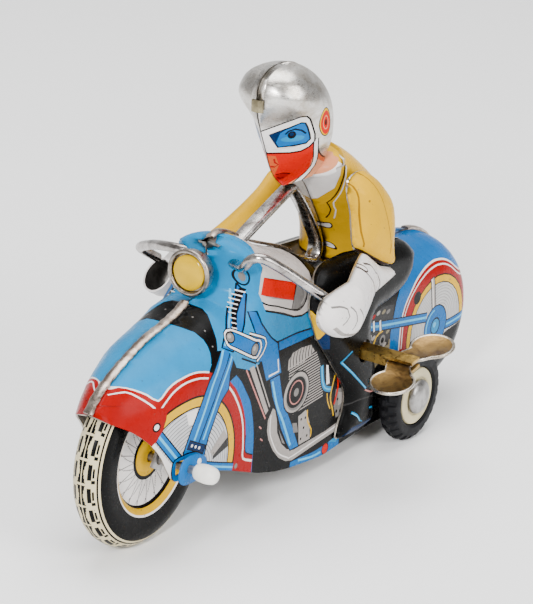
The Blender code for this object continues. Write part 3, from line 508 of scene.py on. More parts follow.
def print_triangles(outline, edge, art, spacing, rows, holes):
    """Triangles that follow the outline, the holes and each printed area, and their inks."""
    points, edges = [], []
    for loop in [outline, *holes, *(area for _, area in art.areas)]:
        start, count = len(points), len(loop)
        points += [Vector(p) for p in loop]
        edges += [(start + i, start + (i + 1) % count) for i in range(count)]
    free = sheet_points(outline, edge, spacing, rows)
    points += [Vector((float(y), float(z))) for y, z in free]
    flat, _, faces, _, _, _ = delaunay_2d_cdt(points, edges, [], 0, 1e-4)
    flat = np.array([tuple(p) for p in flat])
    faces = np.array([tuple(f) for f in faces])
    corner = flat[faces]
    middle = corner.mean(axis=1)
    one, two = corner[:, 1] - corner[:, 0], corner[:, 2] - corner[:, 0]
    kept = covered(outline, middle) & (np.abs(one[:, 0] * two[:, 1] - two[:, 0] * one[:, 1]) > 1e-7)
    for hole in holes:
        kept &= ~covered(hole, middle)
    faces, middle = faces[kept], middle[kept]
    inks = art.inks()
    which = np.zeros(len(faces), int)
    for ink, area in art.areas:
        which[covered(area, middle)] = inks.index(ink)
    used, faces = np.unique(faces, return_inverse=True)
    return flat[used], faces.reshape(-1, 3), which


def add_printed(name, node, slot, outline, edge, art, height, side, spacing, rows, holes=()):
    """A stamped, printed piece: its outer face carries the art, the rest is bare tin.

    height gives x at (y, z), and side is 1 for the left and -1 for the right.
    """
    flat, faces, which = print_triangles(outline, edge, art, spacing, rows, holes)
    y, z = flat[:, 0], flat[:, 1]
    step = 0.06
    x = height(y, z)
    slope_y = (height(y + step, z) - height(y - step, z)) / (2 * step)
    slope_z = (height(y, z + step) - height(y, z - step)) / (2 * step)
    normals = np.stack([np.ones_like(x), -slope_y, -slope_z], axis=1)
    normals /= np.linalg.norm(normals, axis=1)[:, None]
    outer = np.stack([x, y, z], axis=1)
    inner = outer - normals * TIN
    inner[:, 0] = np.maximum(inner[:, 0], np.minimum(x, SEAM_HALF_GAP))
    for array in (outer, inner, normals):
        array[:, 0] *= side
    count = len(outer)
    front = [tuple(int(i) for i in face) for face in faces]
    back = [tuple(i + count for i in face[::-1]) for face in front]
    directed = {pair: None for a, b, c in front for pair in ((a, b), (b, c), (c, a))}
    walls = [(b, a, a + count, b + count) for a, b in directed if (b, a) not in directed]
    all_faces = front + back + walls
    if side < 0:
        all_faces = [face[::-1] for face in all_faces]
    mesh = bpy.data.meshes.new(name)
    mesh.from_pydata([world(*p) for p in np.concatenate([outer, inner])], [], all_faces)
    inks = art.inks() + ["tin"]
    for ink in inks:
        mesh.materials.append(INKS[ink])
    numbers = list(which) + [len(inks) - 1] * (len(back) + len(walls))
    mesh.polygons.foreach_set("material_index", np.array(numbers, np.int32))
    mesh.polygons.foreach_set("use_smooth", np.ones(len(all_faces), bool))
    mesh.update()
    directions = np.concatenate([normals, -normals])
    wall_start = len(front) + len(back)
    per_corner = []
    for polygon in mesh.polygons:
        if polygon.index >= wall_start:
            per_corner += [tuple(polygon.normal)] * len(polygon.vertices)
        else:
            per_corner += [tuple(directions[i]) for i in polygon.vertices]
    mesh.normals_split_custom_set(per_corner)
    add_piece(mesh, "frame", slot, node)


def skin_mesh(name, shape, sharp, materials):
    """A smooth mesh of a shape, with edges sharper than so many degrees kept."""
    bmesh.ops.recalc_face_normals(shape, faces=shape.faces)
    mesh = bpy.data.meshes.new(name)
    shape.to_mesh(mesh)
    shape.free()
    for material in materials:
        mesh.materials.append(material)
    mesh.shade_smooth()
    mesh.set_sharp_from_angle(angle=math.radians(sharp))
    return mesh


def turned(name, profile, centre, material, steps, sharp, axis="X"):
    """A solid of revolution about X or Y; the profile is (radius, along)."""
    shape = bmesh.new()
    rings = []
    for radius, along in profile:
        ring = []
        for a, b in circle_section(radius, steps if radius else 1):
            spot = (along, a, b) if axis == "X" else (a, along, b)
            ring.append(shape.verts.new(world(*(p + c for p, c in zip(spot, centre)))))
        rings.append(ring)
    pairs = list(zip(rings, rings[1:]))
    if len(rings[0]) > 1:
        pairs.append((rings[-1], rings[0]))
    for one, two in pairs:
        for i in range(steps):
            k = (i + 1) % steps
            corners = [one[i % len(one)], two[i % len(two)], two[k % len(two)], one[k % len(one)]]
            unique = list(dict.fromkeys(corners))
            if len(unique) > 2:
                shape.faces.new(unique)
    return skin_mesh(name, shape, sharp, [material])


def rings_mesh(name, rings, sharp, *materials, closed=False, plain_caps=True):
    """A skin through equal rings of points in millimetres, capped unless closed.

    Caps that aren't plain are split into triangles and get the second material.
    """
    shape = bmesh.new()
    made = [[shape.verts.new(world(*point)) for point in ring] for ring in rings]
    count = len(made[0])
    for one, two in zip(made, made[1:] + made[: int(closed)]):
        for k in range(count):
            n = (k + 1) % count
            shape.faces.new((one[k], one[n], two[n], two[k]))
    caps = [] if closed else [shape.faces.new(made[0]), shape.faces.new(made[-1])]
    if not plain_caps:
        for face in caps:
            face.material_index = 1
        bmesh.ops.triangulate(shape, faces=caps)
    return skin_mesh(name, shape, sharp, materials)


def swept_rings(path, section):
    """Rings of a section (sideways, upwards) carried along a 3-D path."""
    spine = [Vector(p) for p in path]
    up = Vector((0.0, 0.0, 1.0))
    rings = []
    for i, point in enumerate(spine):
        ahead = (spine[min(i + 1, len(spine) - 1)] - spine[max(i - 1, 0)]).normalized()
        across = ahead.cross(up).normalized()
        up = across.cross(ahead).normalized()
        rings.append([point + across * a + up * b for a, b in section])
    return rings


def flat_band_rings(line, section):
    """Rings of an (x, off) section along a line in the side plane."""
    rings = []
    for i, (y, z) in enumerate(line):
        a, b = line[max(i - 1, 0)], line[min(i + 1, len(line) - 1)]
        length = math.dist(a, b)
        ny, nz = -(b[1] - a[1]) / length, (b[0] - a[0]) / length
        rings.append([(x, y + ny * off, z + nz * off) for x, off in section])
    return rings


def wheel_ring(axle, radii, x):
    """A ring of points about an axle, with a radius for each of its equal steps."""
    circle = circle_section(1.0, len(radii))
    return [(x, axle[0] + r * a, axle[1] + r * b) for r, (a, b) in zip(radii, circle)]


# ---------------------------------------------------------------- motorcycle body

FRONT_SEAM = [
    (-82.3, 41.0), (-80.0, 43.6), (-77.0, 45.9), (-72.0, 48.6), (-68.2, 50.3), (-60.2, 53.3),
    (-52.6, 54.9), (-46.8, 56.5), (-43.2, 58.2),
]
HEAD_SEAM = [
    (-37.6, 58.9), (-35.2, 61.5), (-34.6, 66.5), (-34.9, 70.6), (-33.4, 72.6), (-30.4, 73.2),
    (-26.9, 72.3), (-22.4, 70.2), (-18.0, 67.9), (-14.3, 66.1), (-9.4, 64.3), (-2.1, 61.6), (4.0, 58.8),
    (9.0, 54.6), (13.5, 51.4), (20.0, 50.4), (34.0, 50.2), (45.0, 50.0), (53.5, 49.7),
]
REAR_SEAM = arc(REAR_HUB, 22.5, 92, -76, 60)
BODY_BOTTOM = [
    (52.0, 5.0), (28.0, 6.6), (11.8, 6.0), (2.9, 5.6), (-8.0, 6.8), (-17.7, 8.3), (-27.8, 11.1),
    (-35.0, 13.9), (-43.4, 17.2), (-52.0, 19.8), (-58.0, 20.2), (-63.5, 20.6), (-65.6, 23.4),
    (-68.2, 28.4), (-71.4, 32.4), (-76.4, 36.8), (-80.4, 39.2),
]
BODY_SEAM = smooth_path(FRONT_SEAM, 1.5) + smooth_path(HEAD_SEAM, 1.5) + REAR_SEAM
NOSE_Y = [-84.0, -82.0, -76.0, -70.0, -61.0, -50.0]
NOSE_HALF_WIDTH = [6.4, 7.2, 9.0, 11.0, 13.2, BODY_HALF_WIDTH]


def body_height(y, z):
    half_width = np.interp(y, NOSE_Y, NOSE_HALF_WIDTH)
    rise = dome(edge_distance(BODY_SEAM, y, z), BODY_EDGE_RADIUS)
    return SEAM_HALF_GAP + (half_width - SEAM_HALF_GAP) * rise


def front_guard_art(art):
    """The side of the front mudguard: blue above, and red with white lines below."""
    inner_line = [
        (-40.3, 42.0), (-38.0, 39.7), (-35.3, 35.8), (-33.4, 32.8), (-32.2, 29.3), (-31.3, 25.1),
        (-30.9, 20.5), (-31.1, 12.0),
    ]
    art.fill("blue", *inner_line, (-45.0, 14.0), (-47.0, 40.0))
    art.line("line", 0.5, *inner_line)
    top_line = [
        (-77.5, 45.9), (-74.8, 46.6), (-72.7, 46.0), (-70.6, 44.7), (-68.5, 43.0), (-65.2, 45.1),
        (-62.2, 46.4), (-58.3, 47.1), (-55.2, 47.0), (-52.0, 46.2),
    ]
    guard_rear = [(-50.6, 47.8), (-49.5, 50.1), (-48.9, 52.8), (-49.3, 54.3), (-52.0, 55.8)]
    art.fill("bright_blue", *top_line, *guard_rear, (-54.0, 60.0), (-90.0, 60.0), (-90.0, 40.0))
    art.line("line", 0.4, *guard_rear)
    art.fill(
        "red", *top_line, (-45.0, 43.0), (-42.6, 40.5), (-40.3, 38.2), (-38.0, 34.7), (-36.5, 31.6),
        (-35.3, 27.8), (-34.9, 23.9), (-34.7, 19.3), (-31.3, 17.4), (-31.7, 10.0), (-60.0, 16.0),
        (-66.0, 18.0), (-90.0, 36.0), (-86.0, 43.0),
    )
    art.line("white", 0.45, *top_line)
    art.line(
        "white", 0.45, (-77.6, 45.2), (-74.5, 45.7), (-72.7, 44.5), (-70.6, 42.4), (-68.9, 40.7),
        (-66.8, 42.2), (-64.5, 43.9), (-61.4, 45.3), (-58.3, 45.7), (-55.2, 45.5), (-52.5, 44.8),
    )
    art.line(
        "white", 0.6, (-43.6, 39.7), (-41.5, 37.4), (-39.2, 33.9), (-37.6, 30.8), (-36.5, 27.4),
        (-36.1, 23.9), (-35.9, 20.5), (-35.7, 17.8), (-31.5, 15.8),
    )
    art.line("line", 0.35, (-34.9, 23.9), (-34.7, 19.3), (-31.3, 17.4))
    art.disc("grey", (-38.8, 16.8), 0.7)


def front_wheel_art(art):
    """The printed upper half of the front wheel, with the fork over it."""
    hub = (-58.5, 22.5)
    art.disc("line", hub, 18.95, 64)
    art.disc("yellow", hub, 18.4, 64)
    art.disc("line", hub, 16.15, 64)
    art.disc("silver_front", hub, 15.75, 64)
    art.fill("white", (-60.4, 37.9), (-56.2, 37.9), (-57.2, 34.0), (-59.4, 34.4))
    art.fill("light_grey", (-45.0, 29.0), (-43.2, 26.2), (-49.6, 23.2), (-50.8, 24.6))
    art.fill("dark_grey", (-43.2, 26.2), (-42.9, 23.6), (-49.6, 22.2), (-49.6, 23.2))
    art.line("white", 2.0, (-71.0, 32.0), (-64.6, 23.8), (-63.8, 20.0), curved=False)
    art.tube(2.5, (-69.4, 34.6), (-61.6, 24.8))
    art.tube(1.9, (-53.0, 21.6), (-40.3, 17.0))
    left = [(-45.2, 50.8), (-49.8, 46.6), (-52.2, 43.9), (-55.2, 38.2), (-58.3, 32.8), (-61.0, 27.4)]
    right = [
        (-53.1, 23.2), (-52.5, 26.2), (-51.4, 29.3), (-49.1, 33.5), (-46.8, 37.0), (-43.7, 39.3),
        (-43.3, 43.5), (-41.5, 48.0),
    ]
    art.edged("blue", 0.45, *left, (-61.2, 24.0), *right)
    art.line("pale_blue", 0.7, (-45.4, 49.9), (-48.3, 46.2), (-50.6, 42.8), (-53.3, 36.8), (-57.0, 29.6))
    art.line("line", 0.4, (-43.4, 48.6), (-46.8, 43.6), (-50.4, 37.4), (-55.6, 27.8))
    art.line("pale_blue", 0.6, (-42.4, 48.4), (-45.2, 43.5), (-49.1, 37.4), (-53.6, 28.8))
    art.line("line", 2.5, (-59.2, 29.2), (-52.9, 26.0), curved=False)
    art.line("dark_blue", 1.9, (-58.9, 29.0), (-53.2, 26.2), curved=False)
    for y, z in ((-57.8, 28.5), (-56.4, 27.8), (-55.0, 27.1)):
        art.disc("white", (y, z), 0.42, 12)
    art.edged(
        "blue", 0.4, (-64.2, 25.6), (-61.0, 26.9), (-56.0, 26.4), (-53.1, 24.2), (-53.3, 21.2),
        (-56.5, 19.6), (-63.6, 20.4), smooth=True,
    )
    art.disc("grey", (-59.2, 21.2), 0.8, 14)
    art.fill(
        "red", (-66.4, 41.0), (-66.8, 38.0), (-67.6, 35.5), (-69.5, 33.0), (-71.2, 31.8), (-78.0, 34.0),
        (-86.0, 38.0), (-86.0, 43.0), (-76.0, 43.0), (-70.0, 41.5),
    )
    art.disc("line", (-69.7, 36.6), 1.25)
    art.disc("white", (-69.7, 36.6), 0.8)


def steering_head_art(art):
    """The steering head: its blue side, the striped spring and the riveted link."""
    art.fill(
        "bright_blue", (-43.7, 60.5), (-42.5, 57.8), (-44.8, 54.7), (-46.0, 52.4), (-47.5, 50.1),
        (-44.0, 49.6), (-40.6, 44.0), (-33.5, 41.0), (-30.0, 42.0), (-27.0, 48.0), (-28.0, 54.0),
        (-29.6, 60.0), (-28.4, 68.0), (-24.0, 72.0), (-30.0, 76.0), (-46.0, 76.0),
    )
    for y, z in ((-46.9, 54.2), (-48.0, 51.2), (-45.9, 56.4)):
        art.disc("grey", (y, z), 0.25, 8)
    art.line("line", 0.5, (-42.5, 57.8), (-44.8, 54.7), (-46.0, 52.4), (-47.5, 50.1))
    art.edged(
        "blue", 0.5, (-33.0, 62.7), (-33.5, 60.4), (-35.8, 57.7), (-39.3, 55.8), (-42.0, 53.8),
        (-45.5, 50.4), (-42.2, 48.6), (-38.4, 51.0), (-35.5, 53.5), (-32.0, 60.0),
    )
    art.line("pale_blue", 0.6, (-33.9, 61.2), (-36.2, 57.0), (-39.8, 54.8), (-44.4, 50.6))
    art.line("line", 1.7, (-32.2, 61.5), (-35.0, 57.4), (-39.6, 53.2))
    for i in range(9):
        t = i / 8
        y, z = -32.7 - 6.4 * t, 60.8 - 7.2 * t
        art.line("white", 0.35, (y - 0.75, z + 0.2), (y + 0.65, z - 0.35), curved=False)
    art.ellipse("line", (-32.2, 64.4), 1.2, 2.3, 6.0)
    art.ellipse("bright_blue", (-32.2, 64.4), 0.9, 1.9, 6.0)
    art.ellipse("grey", (-32.2, 64.4), 0.5, 1.2, 6.0)
    art.disc("line", (-41.0, 63.6), 0.9, 16)
    art.edged(
        "blue", 0.45, (-31.0, 55.8), (-30.1, 52.7), (-27.4, 49.6), (-25.1, 47.3), (-22.0, 45.0),
        (-20.6, 40.0), (-19.5, 36.0), (-26.5, 35.8), (-27.0, 36.6), (-29.2, 42.0), (-31.6, 42.7),
        (-33.2, 56.2),
    )
    art.line("white", 0.55, (-25.5, 36.9), (-20.9, 36.9), (-21.5, 40.4), curved=False)
    bracket = [(-34.7, 51.2), (-28.2, 48.1), (-27.4, 46.5), (-28.9, 44.2), (-31.4, 42.9)]
    art.line("line", 1.0, *bracket)
    art.line("white", 0.45, *bracket)
    link = [
        (-43.5, 50.8), (-42.8, 53.1), (-40.8, 53.5), (-36.6, 51.2), (-32.4, 48.8), (-30.5, 48.1),
        (-29.7, 46.2), (-31.2, 44.2), (-33.5, 44.6), (-42.8, 50.0),
    ]
    art.edged("blue", 1.1, *link, smooth=True)
    art.line("white", 0.55, *smooth_path(link, 1.2, closed=True), link[0], curved=False)
    for centre, radius in (((-41.8, 52.0), 1.2), ((-32.6, 46.4), 1.5)):
        art.disc("line", centre, radius + 0.35, 18)
        art.disc("grey", centre, radius, 18)
        art.disc("light_grey", (centre[0] - 0.2, centre[1] + 0.3), radius * 0.45, 12)
    art.line("line", 0.5, (-38.5, 45.8), (-31.6, 42.3))


def tank_art(art):
    """The tank: a pearl panel with a plain red label, edged in blue below."""
    seam = smooth_path([(-28.9, 70.0), (-20.0, 72.0), (-9.7, 68.0), (4.0, 62.0)], 4.0)
    art.fill(
        "bright_blue", (-30.4, 55.8), (-25.1, 54.0), (-15.1, 49.8), (-11.2, 49.0), (-4.0, 49.4),
        (-2.0, 52.0), (6.0, 62.0), (-6.0, 44.4), (-13.5, 45.0), (-22.8, 45.6), (-27.6, 49.8),
    )
    art.fill(
        "blue", (-21.6, 45.4), (-13.5, 45.0), (-3.0, 44.2), (-3.0, 42.0), (-10.0, 42.2), (-21.0, 42.6),
    )
    art.line(
        "line", 0.5, (-31.0, 55.8), (-30.1, 52.7), (-27.4, 49.6), (-25.1, 47.3), (-22.8, 45.4),
        (-13.5, 45.0), (-6.2, 44.2),
    )
    panel = [
        (-30.1, 63.8), (-31.0, 60.4), (-32.4, 56.9), (-30.5, 56.2), (-25.1, 54.2), (-20.1, 52.3),
        (-15.1, 50.0), (-11.2, 49.2), (-7.0, 49.6), (-4.6, 52.0), (-3.0, 58.0),
    ]
    art.edged("pearl", 0.55, (-28.9, 67.3), *panel, (4.0, 66.0), *seam[::-1])
    inside = [
        (-28.5, 66.7), (-29.7, 62.3), (-29.7, 58.8), (-28.2, 57.1), (-22.8, 55.0), (-17.4, 52.7),
        (-13.5, 51.3), (-11.2, 51.5), (-9.3, 53.1), (-8.5, 55.8), (-9.3, 57.6),
    ]
    art.line("line", 0.4, *inside)
    art.edged(
        "grey", 0.35, (-13.0, 58.5), (-11.6, 59.0), (-8.9, 57.3), (-8.7, 54.6), (-10.5, 51.9),
        (-13.5, 51.5), (-16.4, 52.3), (-15.7, 54.6),
    )
    art.line("light_grey", 0.5, (-12.6, 57.6), (-10.2, 56.6), (-10.0, 54.2), (-12.0, 52.6))
    art.fill("bright_red", (-28.2, 64.0), (-13.2, 58.5), (-15.7, 54.6), (-29.1, 59.6))


def engine_art(art):
    """The engine: exhaust, frame tube, cooling fins and the round cover."""
    art.line("pink", 0.5, (-36.1, 42.0), (-26.1, 25.5), curved=False)
    art.fill("light_grey", (-34.7, 42.0), (-26.1, 26.6), (-24.9, 27.4), (-32.6, 42.0))
    art.line("light_grey", 0.45, (-31.5, 42.0), (-24.3, 28.2), curved=False)
    for y, z in ((-28.8, 24.2), (-28.0, 20.6)):
        art.line("pink", 0.4, (y, z), (y + 1.1, z - 0.9), curved=False)
    exhaust_outer = [
        (-22.8, 27.4), (-24.9, 24.7), (-25.1, 21.6), (-24.2, 18.9), (-21.8, 15.1), (-18.8, 12.0),
        (-15.3, 9.9), (-12.2, 9.1), (4.0, 10.1), (15.8, 10.7), (26.0, 11.2),
    ]
    exhaust_inner = [
        (26.0, 14.0), (15.8, 13.6), (4.0, 12.4), (-11.8, 12.2), (-14.9, 13.5), (-17.6, 15.8),
        (-19.9, 19.7), (-20.3, 23.2), (-21.5, 26.6),
    ]
    art.edged("light_grey", 0.35, *exhaust_outer, *exhaust_inner)
    art.line(
        "white", 0.35, (-23.4, 25.6), (-23.6, 21.4), (-22.6, 18.6), (-19.4, 13.9), (-14.6, 10.9),
        (-11.9, 10.4), (4.0, 11.5), (15.8, 12.3), (26.0, 12.9),
    )
    art.fill("grey", (-19.5, 20.5), (-18.0, 18.2), (-15.9, 15.1), (-17.4, 15.9))
    down_left = [(-24.9, 35.8), (-23.4, 30.8), (-21.0, 25.8), (-18.4, 20.0), (-15.3, 15.0), (-13.4, 12.4)]
    down_right = [(-9.3, 12.4), (-12.6, 18.9), (-14.9, 22.8), (-17.2, 26.6), (-18.4, 29.3), (-20.3, 35.8)]
    art.edged("blue", 0.4, *down_left, *down_right)
    art.line("pale_blue", 0.8, (-23.6, 34.9), (-20.8, 27.4), (-17.6, 22.0), (-13.4, 13.9))
    art.edged(
        "light_grey", 0.35, (-16.7, 35.5), (-16.5, 38.5), (-14.5, 40.1), (-10.3, 40.3), (-5.7, 39.7),
        (-3.8, 37.2), (-9.0, 35.6),
    )
    for i in range(8):
        y = -15.2 + 1.45 * i
        art.line("line", 0.35, (y, 35.4), (y - 0.4, 37.8), (y + 0.3, 40.0))
    for i in range(19):
        z = 22.6 + 0.75 * i
        start = -15.8 + 0.32 * max(0, 9 - i)
        reach = 1.4 - max(0.0, z - 28.0) * 0.52
        art.line("light_grey", 0.34, (start, z - 0.1), (reach, z + 0.5), curved=False)
    cover = (-11.8, 28.2)
    art.ellipse("black", cover, 6.3, 5.9)
    art.ellipse("light_grey", cover, 5.9, 5.4)
    art.ellipse("grey", (-11.6, 27.9), 5.0, 4.6)
    art.ellipse("black", cover, 4.6, 4.2)
    art.disc("pink", cover, 3.3)
    art.disc("black", cover, 2.95)
    art.disc("grey", cover, 1.15, 18)
    art.fill("light_grey", (-10.1, 20.9), (-6.5, 21.6), (-4.5, 17.6), (-3.8, 12.6), (-9.2, 12.6))
    for y, z in ((-8.6, 19.6), (-6.6, 19.4), (-8.4, 14.0), (-5.4, 14.0), (-7.2, 16.8)):
        art.disc("line", (y, z), 0.4, 10)
    art.fill("grey", (-12.9, 19.9), (-10.7, 19.3), (-9.9, 16.4), (-12.2, 17.0))
    art.line("yellow", 0.5, (-5.9, 21.4), (-5.3, 17.8), (-3.4, 15.1), (-3.6, 13.0))
    art.tube(1.5, (0.2, 31.8), (1.0, 27.3), (2.5, 24.8), (5.4, 23.6), ink="bright_blue")
    art.fill("white", (2.4, 31.4), (3.4, 31.0), (4.6, 25.6), (3.0, 25.6))


def motor_side_art(art):
    """The gearbox behind the engine, with its cables and the blue tube below."""
    art.fill("tan", (15.0, 20.7), (22.0, 15.7), (26.0, 22.0), (36.0, 26.0), (35.0, 29.0), (24.0, 27.5))
    art.fill("grey", (8.0, 22.8), (11.6, 22.2), (15.4, 17.4), (14.8, 14.4), (8.8, 14.4), (7.4, 18.0))
    art.fill("light_grey", (9.4, 21.6), (11.4, 20.8), (12.8, 18.0), (9.6, 17.6))
    art.fill("tan", (13.0, 16.8), (20.2, 15.4), (15.0, 13.9), (12.0, 14.2))
    for y, z, r in ((8.9, 16.2, 0.5), (10.8, 15.8, 0.5), (12.4, 20.2, 0.6), (9.2, 19.6, 0.4)):
        art.disc("line", (y, z), r, 12)
    art.line("yellow", 0.55, (7.1, 27.0), (5.4, 21.5), (6.6, 18.0), (7.5, 15.4))
    art.line("bright_red", 0.8, (8.5, 26.4), (9.0, 23.0), (7.5, 18.6))
    art.line("yellow", 0.45, (3.6, 23.0), (4.2, 20.4), (5.6, 18.0))
    art.fill("light_grey", (10.6, 28.2), (14.6, 26.4), (14.0, 24.8), (10.2, 26.0))
    art.line("blue", 2.8, (-13.0, 7.8), (-2.2, 6.7), (6.0, 6.9), (11.0, 6.6))
    art.line("pale_blue", 0.6, (-9.0, 8.1), (-2.2, 6.9), (2.0, 6.8))
    art.line("line", 0.4, (-13.0, 9.1), (-2.2, 8.6), (6.0, 8.6), (16.0, 10.0))
    art.disc("line", (4.2, 7.0), 1.75, 20)
    art.disc("bright_red", (4.2, 7.0), 1.4, 20)
    art.fill("bright_blue", (5.8, 8.4), (15.8, 9.8), (9.4, 7.2))
    art.line("tan", 2.0, (0.8, 38.8), (8.0, 36.6), (24.0, 31.4), (36.0, 26.6), curved=False)
    art.line("line", 0.35, (0.8, 37.5), (8.0, 35.3), (24.0, 30.1), (36.0, 25.3), curved=False)


def saddle_art(art):
    """The dark panel of small parts under the saddle."""
    art.fill(
        "dark_grey", (23.0, 38.4), (30.0, 39.6), (36.0, 38.6), (35.4, 33.8), (34.0, 27.6), (24.2, 27.2),
    )
    for y, z, ink in (
        (25.4, 38.0, "red"), (27.8, 38.4, "light_grey"), (30.6, 38.0, "tan"), (33.0, 37.4, "grey"),
        (26.0, 31.8, "light_grey"), (33.4, 31.6, "tan"), (28.6, 28.4, "tan"), (32.0, 28.2, "light_grey"),
    ):
        art.ellipse(ink, (y, z), 1.0, 0.55, 15.0)
    art.line("yellow", 0.55, (26.3, 30.0), (27.3, 31.6), (28.9, 32.3), (30.8, 32.5))
    art.disc("grey", (30.8, 29.8), 1.5, 18)
    art.disc("black", (30.8, 29.8), 0.8, 14)
    art.fill("light_grey", (19.4, 33.6), (25.0, 33.0), (25.0, 31.4), (19.4, 31.8))


def rear_guard_art(art):
    """The rear mudguard and the printed rear wheel, with its stay, the rope and a painted shadow over the
    wheel's lower half.
    """
    art.fill(
        "blue", (35.0, 24.0), (35.0, 30.7), (36.3, 35.7), (37.1, 39.0), (39.2, 41.9), (41.3, 43.4),
        (46.7, 45.2), (50.8, 47.6), (53.3, 60.0), (95.0, 60.0), (95.0, 20.0), (80.0, 12.0), (60.0, 8.0),
    )
    outer_line = [
        (40.0, 24.0), (40.4, 31.5), (41.7, 35.7), (44.2, 39.0), (47.5, 41.5), (51.7, 43.0), (55.8, 43.8),
        (60.8, 44.0), (65.0, 43.2), (68.3, 41.5), (71.7, 39.0), (75.8, 37.3), (86.0, 35.4),
    ]
    art.fill("red", *outer_line, (88.0, 20.0), (70.0, 4.0), (45.0, 8.0))
    art.line("white", 0.6, *outer_line)
    art.line(
        "white", 0.45, (41.3, 24.0), (41.6, 31.2), (42.9, 35.0), (45.2, 38.2), (48.2, 40.4), (52.0, 41.8),
        (55.9, 42.6), (60.6, 42.8), (64.5, 42.1), (67.6, 40.5), (71.0, 38.0), (75.3, 36.1), (86.0, 34.2),
    )
    hub = (59.5, 25.2)
    art.ellipse("line", hub, 15.8, 15.2)
    art.ellipse("yellow", hub, 15.4, 14.8)
    art.ellipse("line", hub, 13.6, 13.0)
    art.ellipse("silver_rear", hub, 13.3, 12.7)
    # Painted shadow: this black fill covers the lower half of the printed rear wheel and guard.
    art.fill(
        "black", (46.0, 23.0), (59.0, 19.8), (66.0, 22.0), (82.0, 23.4), (86.0, 12.0), (60.0, 0.0),
        (40.0, 4.0),
    )
    art.disc("black", (48.5, 36.8), 1.9, 20)
    art.line("line", 2.4, (56.5, 40.4), (58.3, 30.0), curved=False)
    art.line("light_grey", 1.7, (56.5, 40.2), (58.3, 30.2), curved=False)
    art.line("white", 0.5, (56.3, 40.0), (58.1, 30.2), curved=False)
    art.tube(2.2, (62.0, 24.2), (70.0, 24.0), (81.0, 24.8))
    rear_boss = (59.6, 25.3)
    art.disc("line", rear_boss, 6.3, 32)
    art.disc("blue", rear_boss, 5.9, 32)
    art.line("pale_blue", 0.5, *arc(rear_boss, 5.0, 100, 200, 14), curved=False)
    art.disc("line", rear_boss, 2.6, 20)
    art.disc("bright_blue", rear_boss, 2.1, 20)
    art.disc("pale_blue", (59.2, 25.8), 0.8, 14)
    art.tube(2.3, (19.2, 36.7), (25.0, 35.3), (30.4, 34.1), (44.0, 31.4), (54.4, 29.4))
    for y, z in ((25.8, 35.2), (29.2, 34.4)):
        art.line("line", 1.3, (y - 0.3, z + 1.6), (y + 0.3, z - 1.6), curved=False)
        art.line("white", 0.8, (y - 0.3, z + 1.6), (y + 0.3, z - 1.6), curved=False)
    rope = smooth_path([(38.0, 57.0), (40.2, 53.0), (40.9, 48.6), (39.6, 45.2), (36.0, 42.6)], 1.0)
    art.line("line", 1.7, *rope, curved=False)
    art.line("yellow", 1.1, *rope, curved=False)
    for (y0, z0), (y1, z1) in zip(rope[::2], rope[1::2]):
        ny, nz = 0.6 * (z1 - z0), 0.6 * (y0 - y1)
        art.line("line", 0.3, (y0 - ny, z0 - nz), (y1 + ny, z1 + nz), curved=False)


def body_art():
    art = Art("black", body_height)
    front_guard_art(art)
    front_wheel_art(art)
    tank_art(art)
    steering_head_art(art)
    engine_art(art)
    motor_side_art(art)
    saddle_art(art)
    rear_guard_art(art)
    return art


AXLE_SLOT = [(-63.3, 22.1), (-58.7, 22.1), (-58.7, 25.7), (-63.3, 25.7)]
FOLD_HEIGHTS = [0.32, 0.7, 1.0, 1.08]
FOLD_SHOULDER = 0.35


def build_body():
    outline = BODY_SEAM + smooth_path(BODY_BOTTOM, 1.4)
    for word, side in (("left", 1), ("right", -1)):
        holes = [AXLE_SLOT, oval(DRIVE_AXLE, 2.2, 2.2)]
        if side > 0:
            holes.append(oval(WINDING, 3.0, 3.0))
        add_printed(
            f"printed_body_{word}", f"body_{word}_half", "printed_blue", outline, BODY_SEAM, body_art(),
            body_height, side, 1.5, (0.12, 0.4, 0.9, 1.6, 2.6, 3.8), holes,
        )


def seam_fold(name, path, half_width, node):
    """A folded seam: a rounded strip whose width wavers a little."""
    foot, side, shoulder, top = FOLD_HEIGHTS
    half = [(half_width, foot), (half_width, side), (half_width - FOLD_SHOULDER, shoulder)]
    section = [(-half_width, foot), *half, (0.0, top), *((-x, off) for x, off in half[:0:-1])]
    rings = []
    for i, ring in enumerate(flat_band_rings(smooth_path(path, 0.8), section)):
        swell = 1.0 + 0.10 * math.sin(1.7 * i) * math.sin(0.37 * i + 0.5)
        rings.append([(x * swell, y, z) for x, y, z in ring])
    add_piece(rings_mesh(name, rings, 40.0, TARNISHED), "frame", "tarnished_tin", node)


def build_seams():
    seam_fold("fold_front", FRONT_SEAM, 1.35, "seam_strip_front")
    seam_fold("fold_head", HEAD_SEAM[4:8], 1.15, "seam_strip_head")
    seam_fold("fold_tank", HEAD_SEAM[9:13], 1.15, "seam_strip_tank")
    seam_fold("fold_rear", arc(REAR_HUB, 22.5, 84, -28, 40), 1.15, "seam_strip_rear")


# ---------------------------------------------------------------- lamp, bar and loop

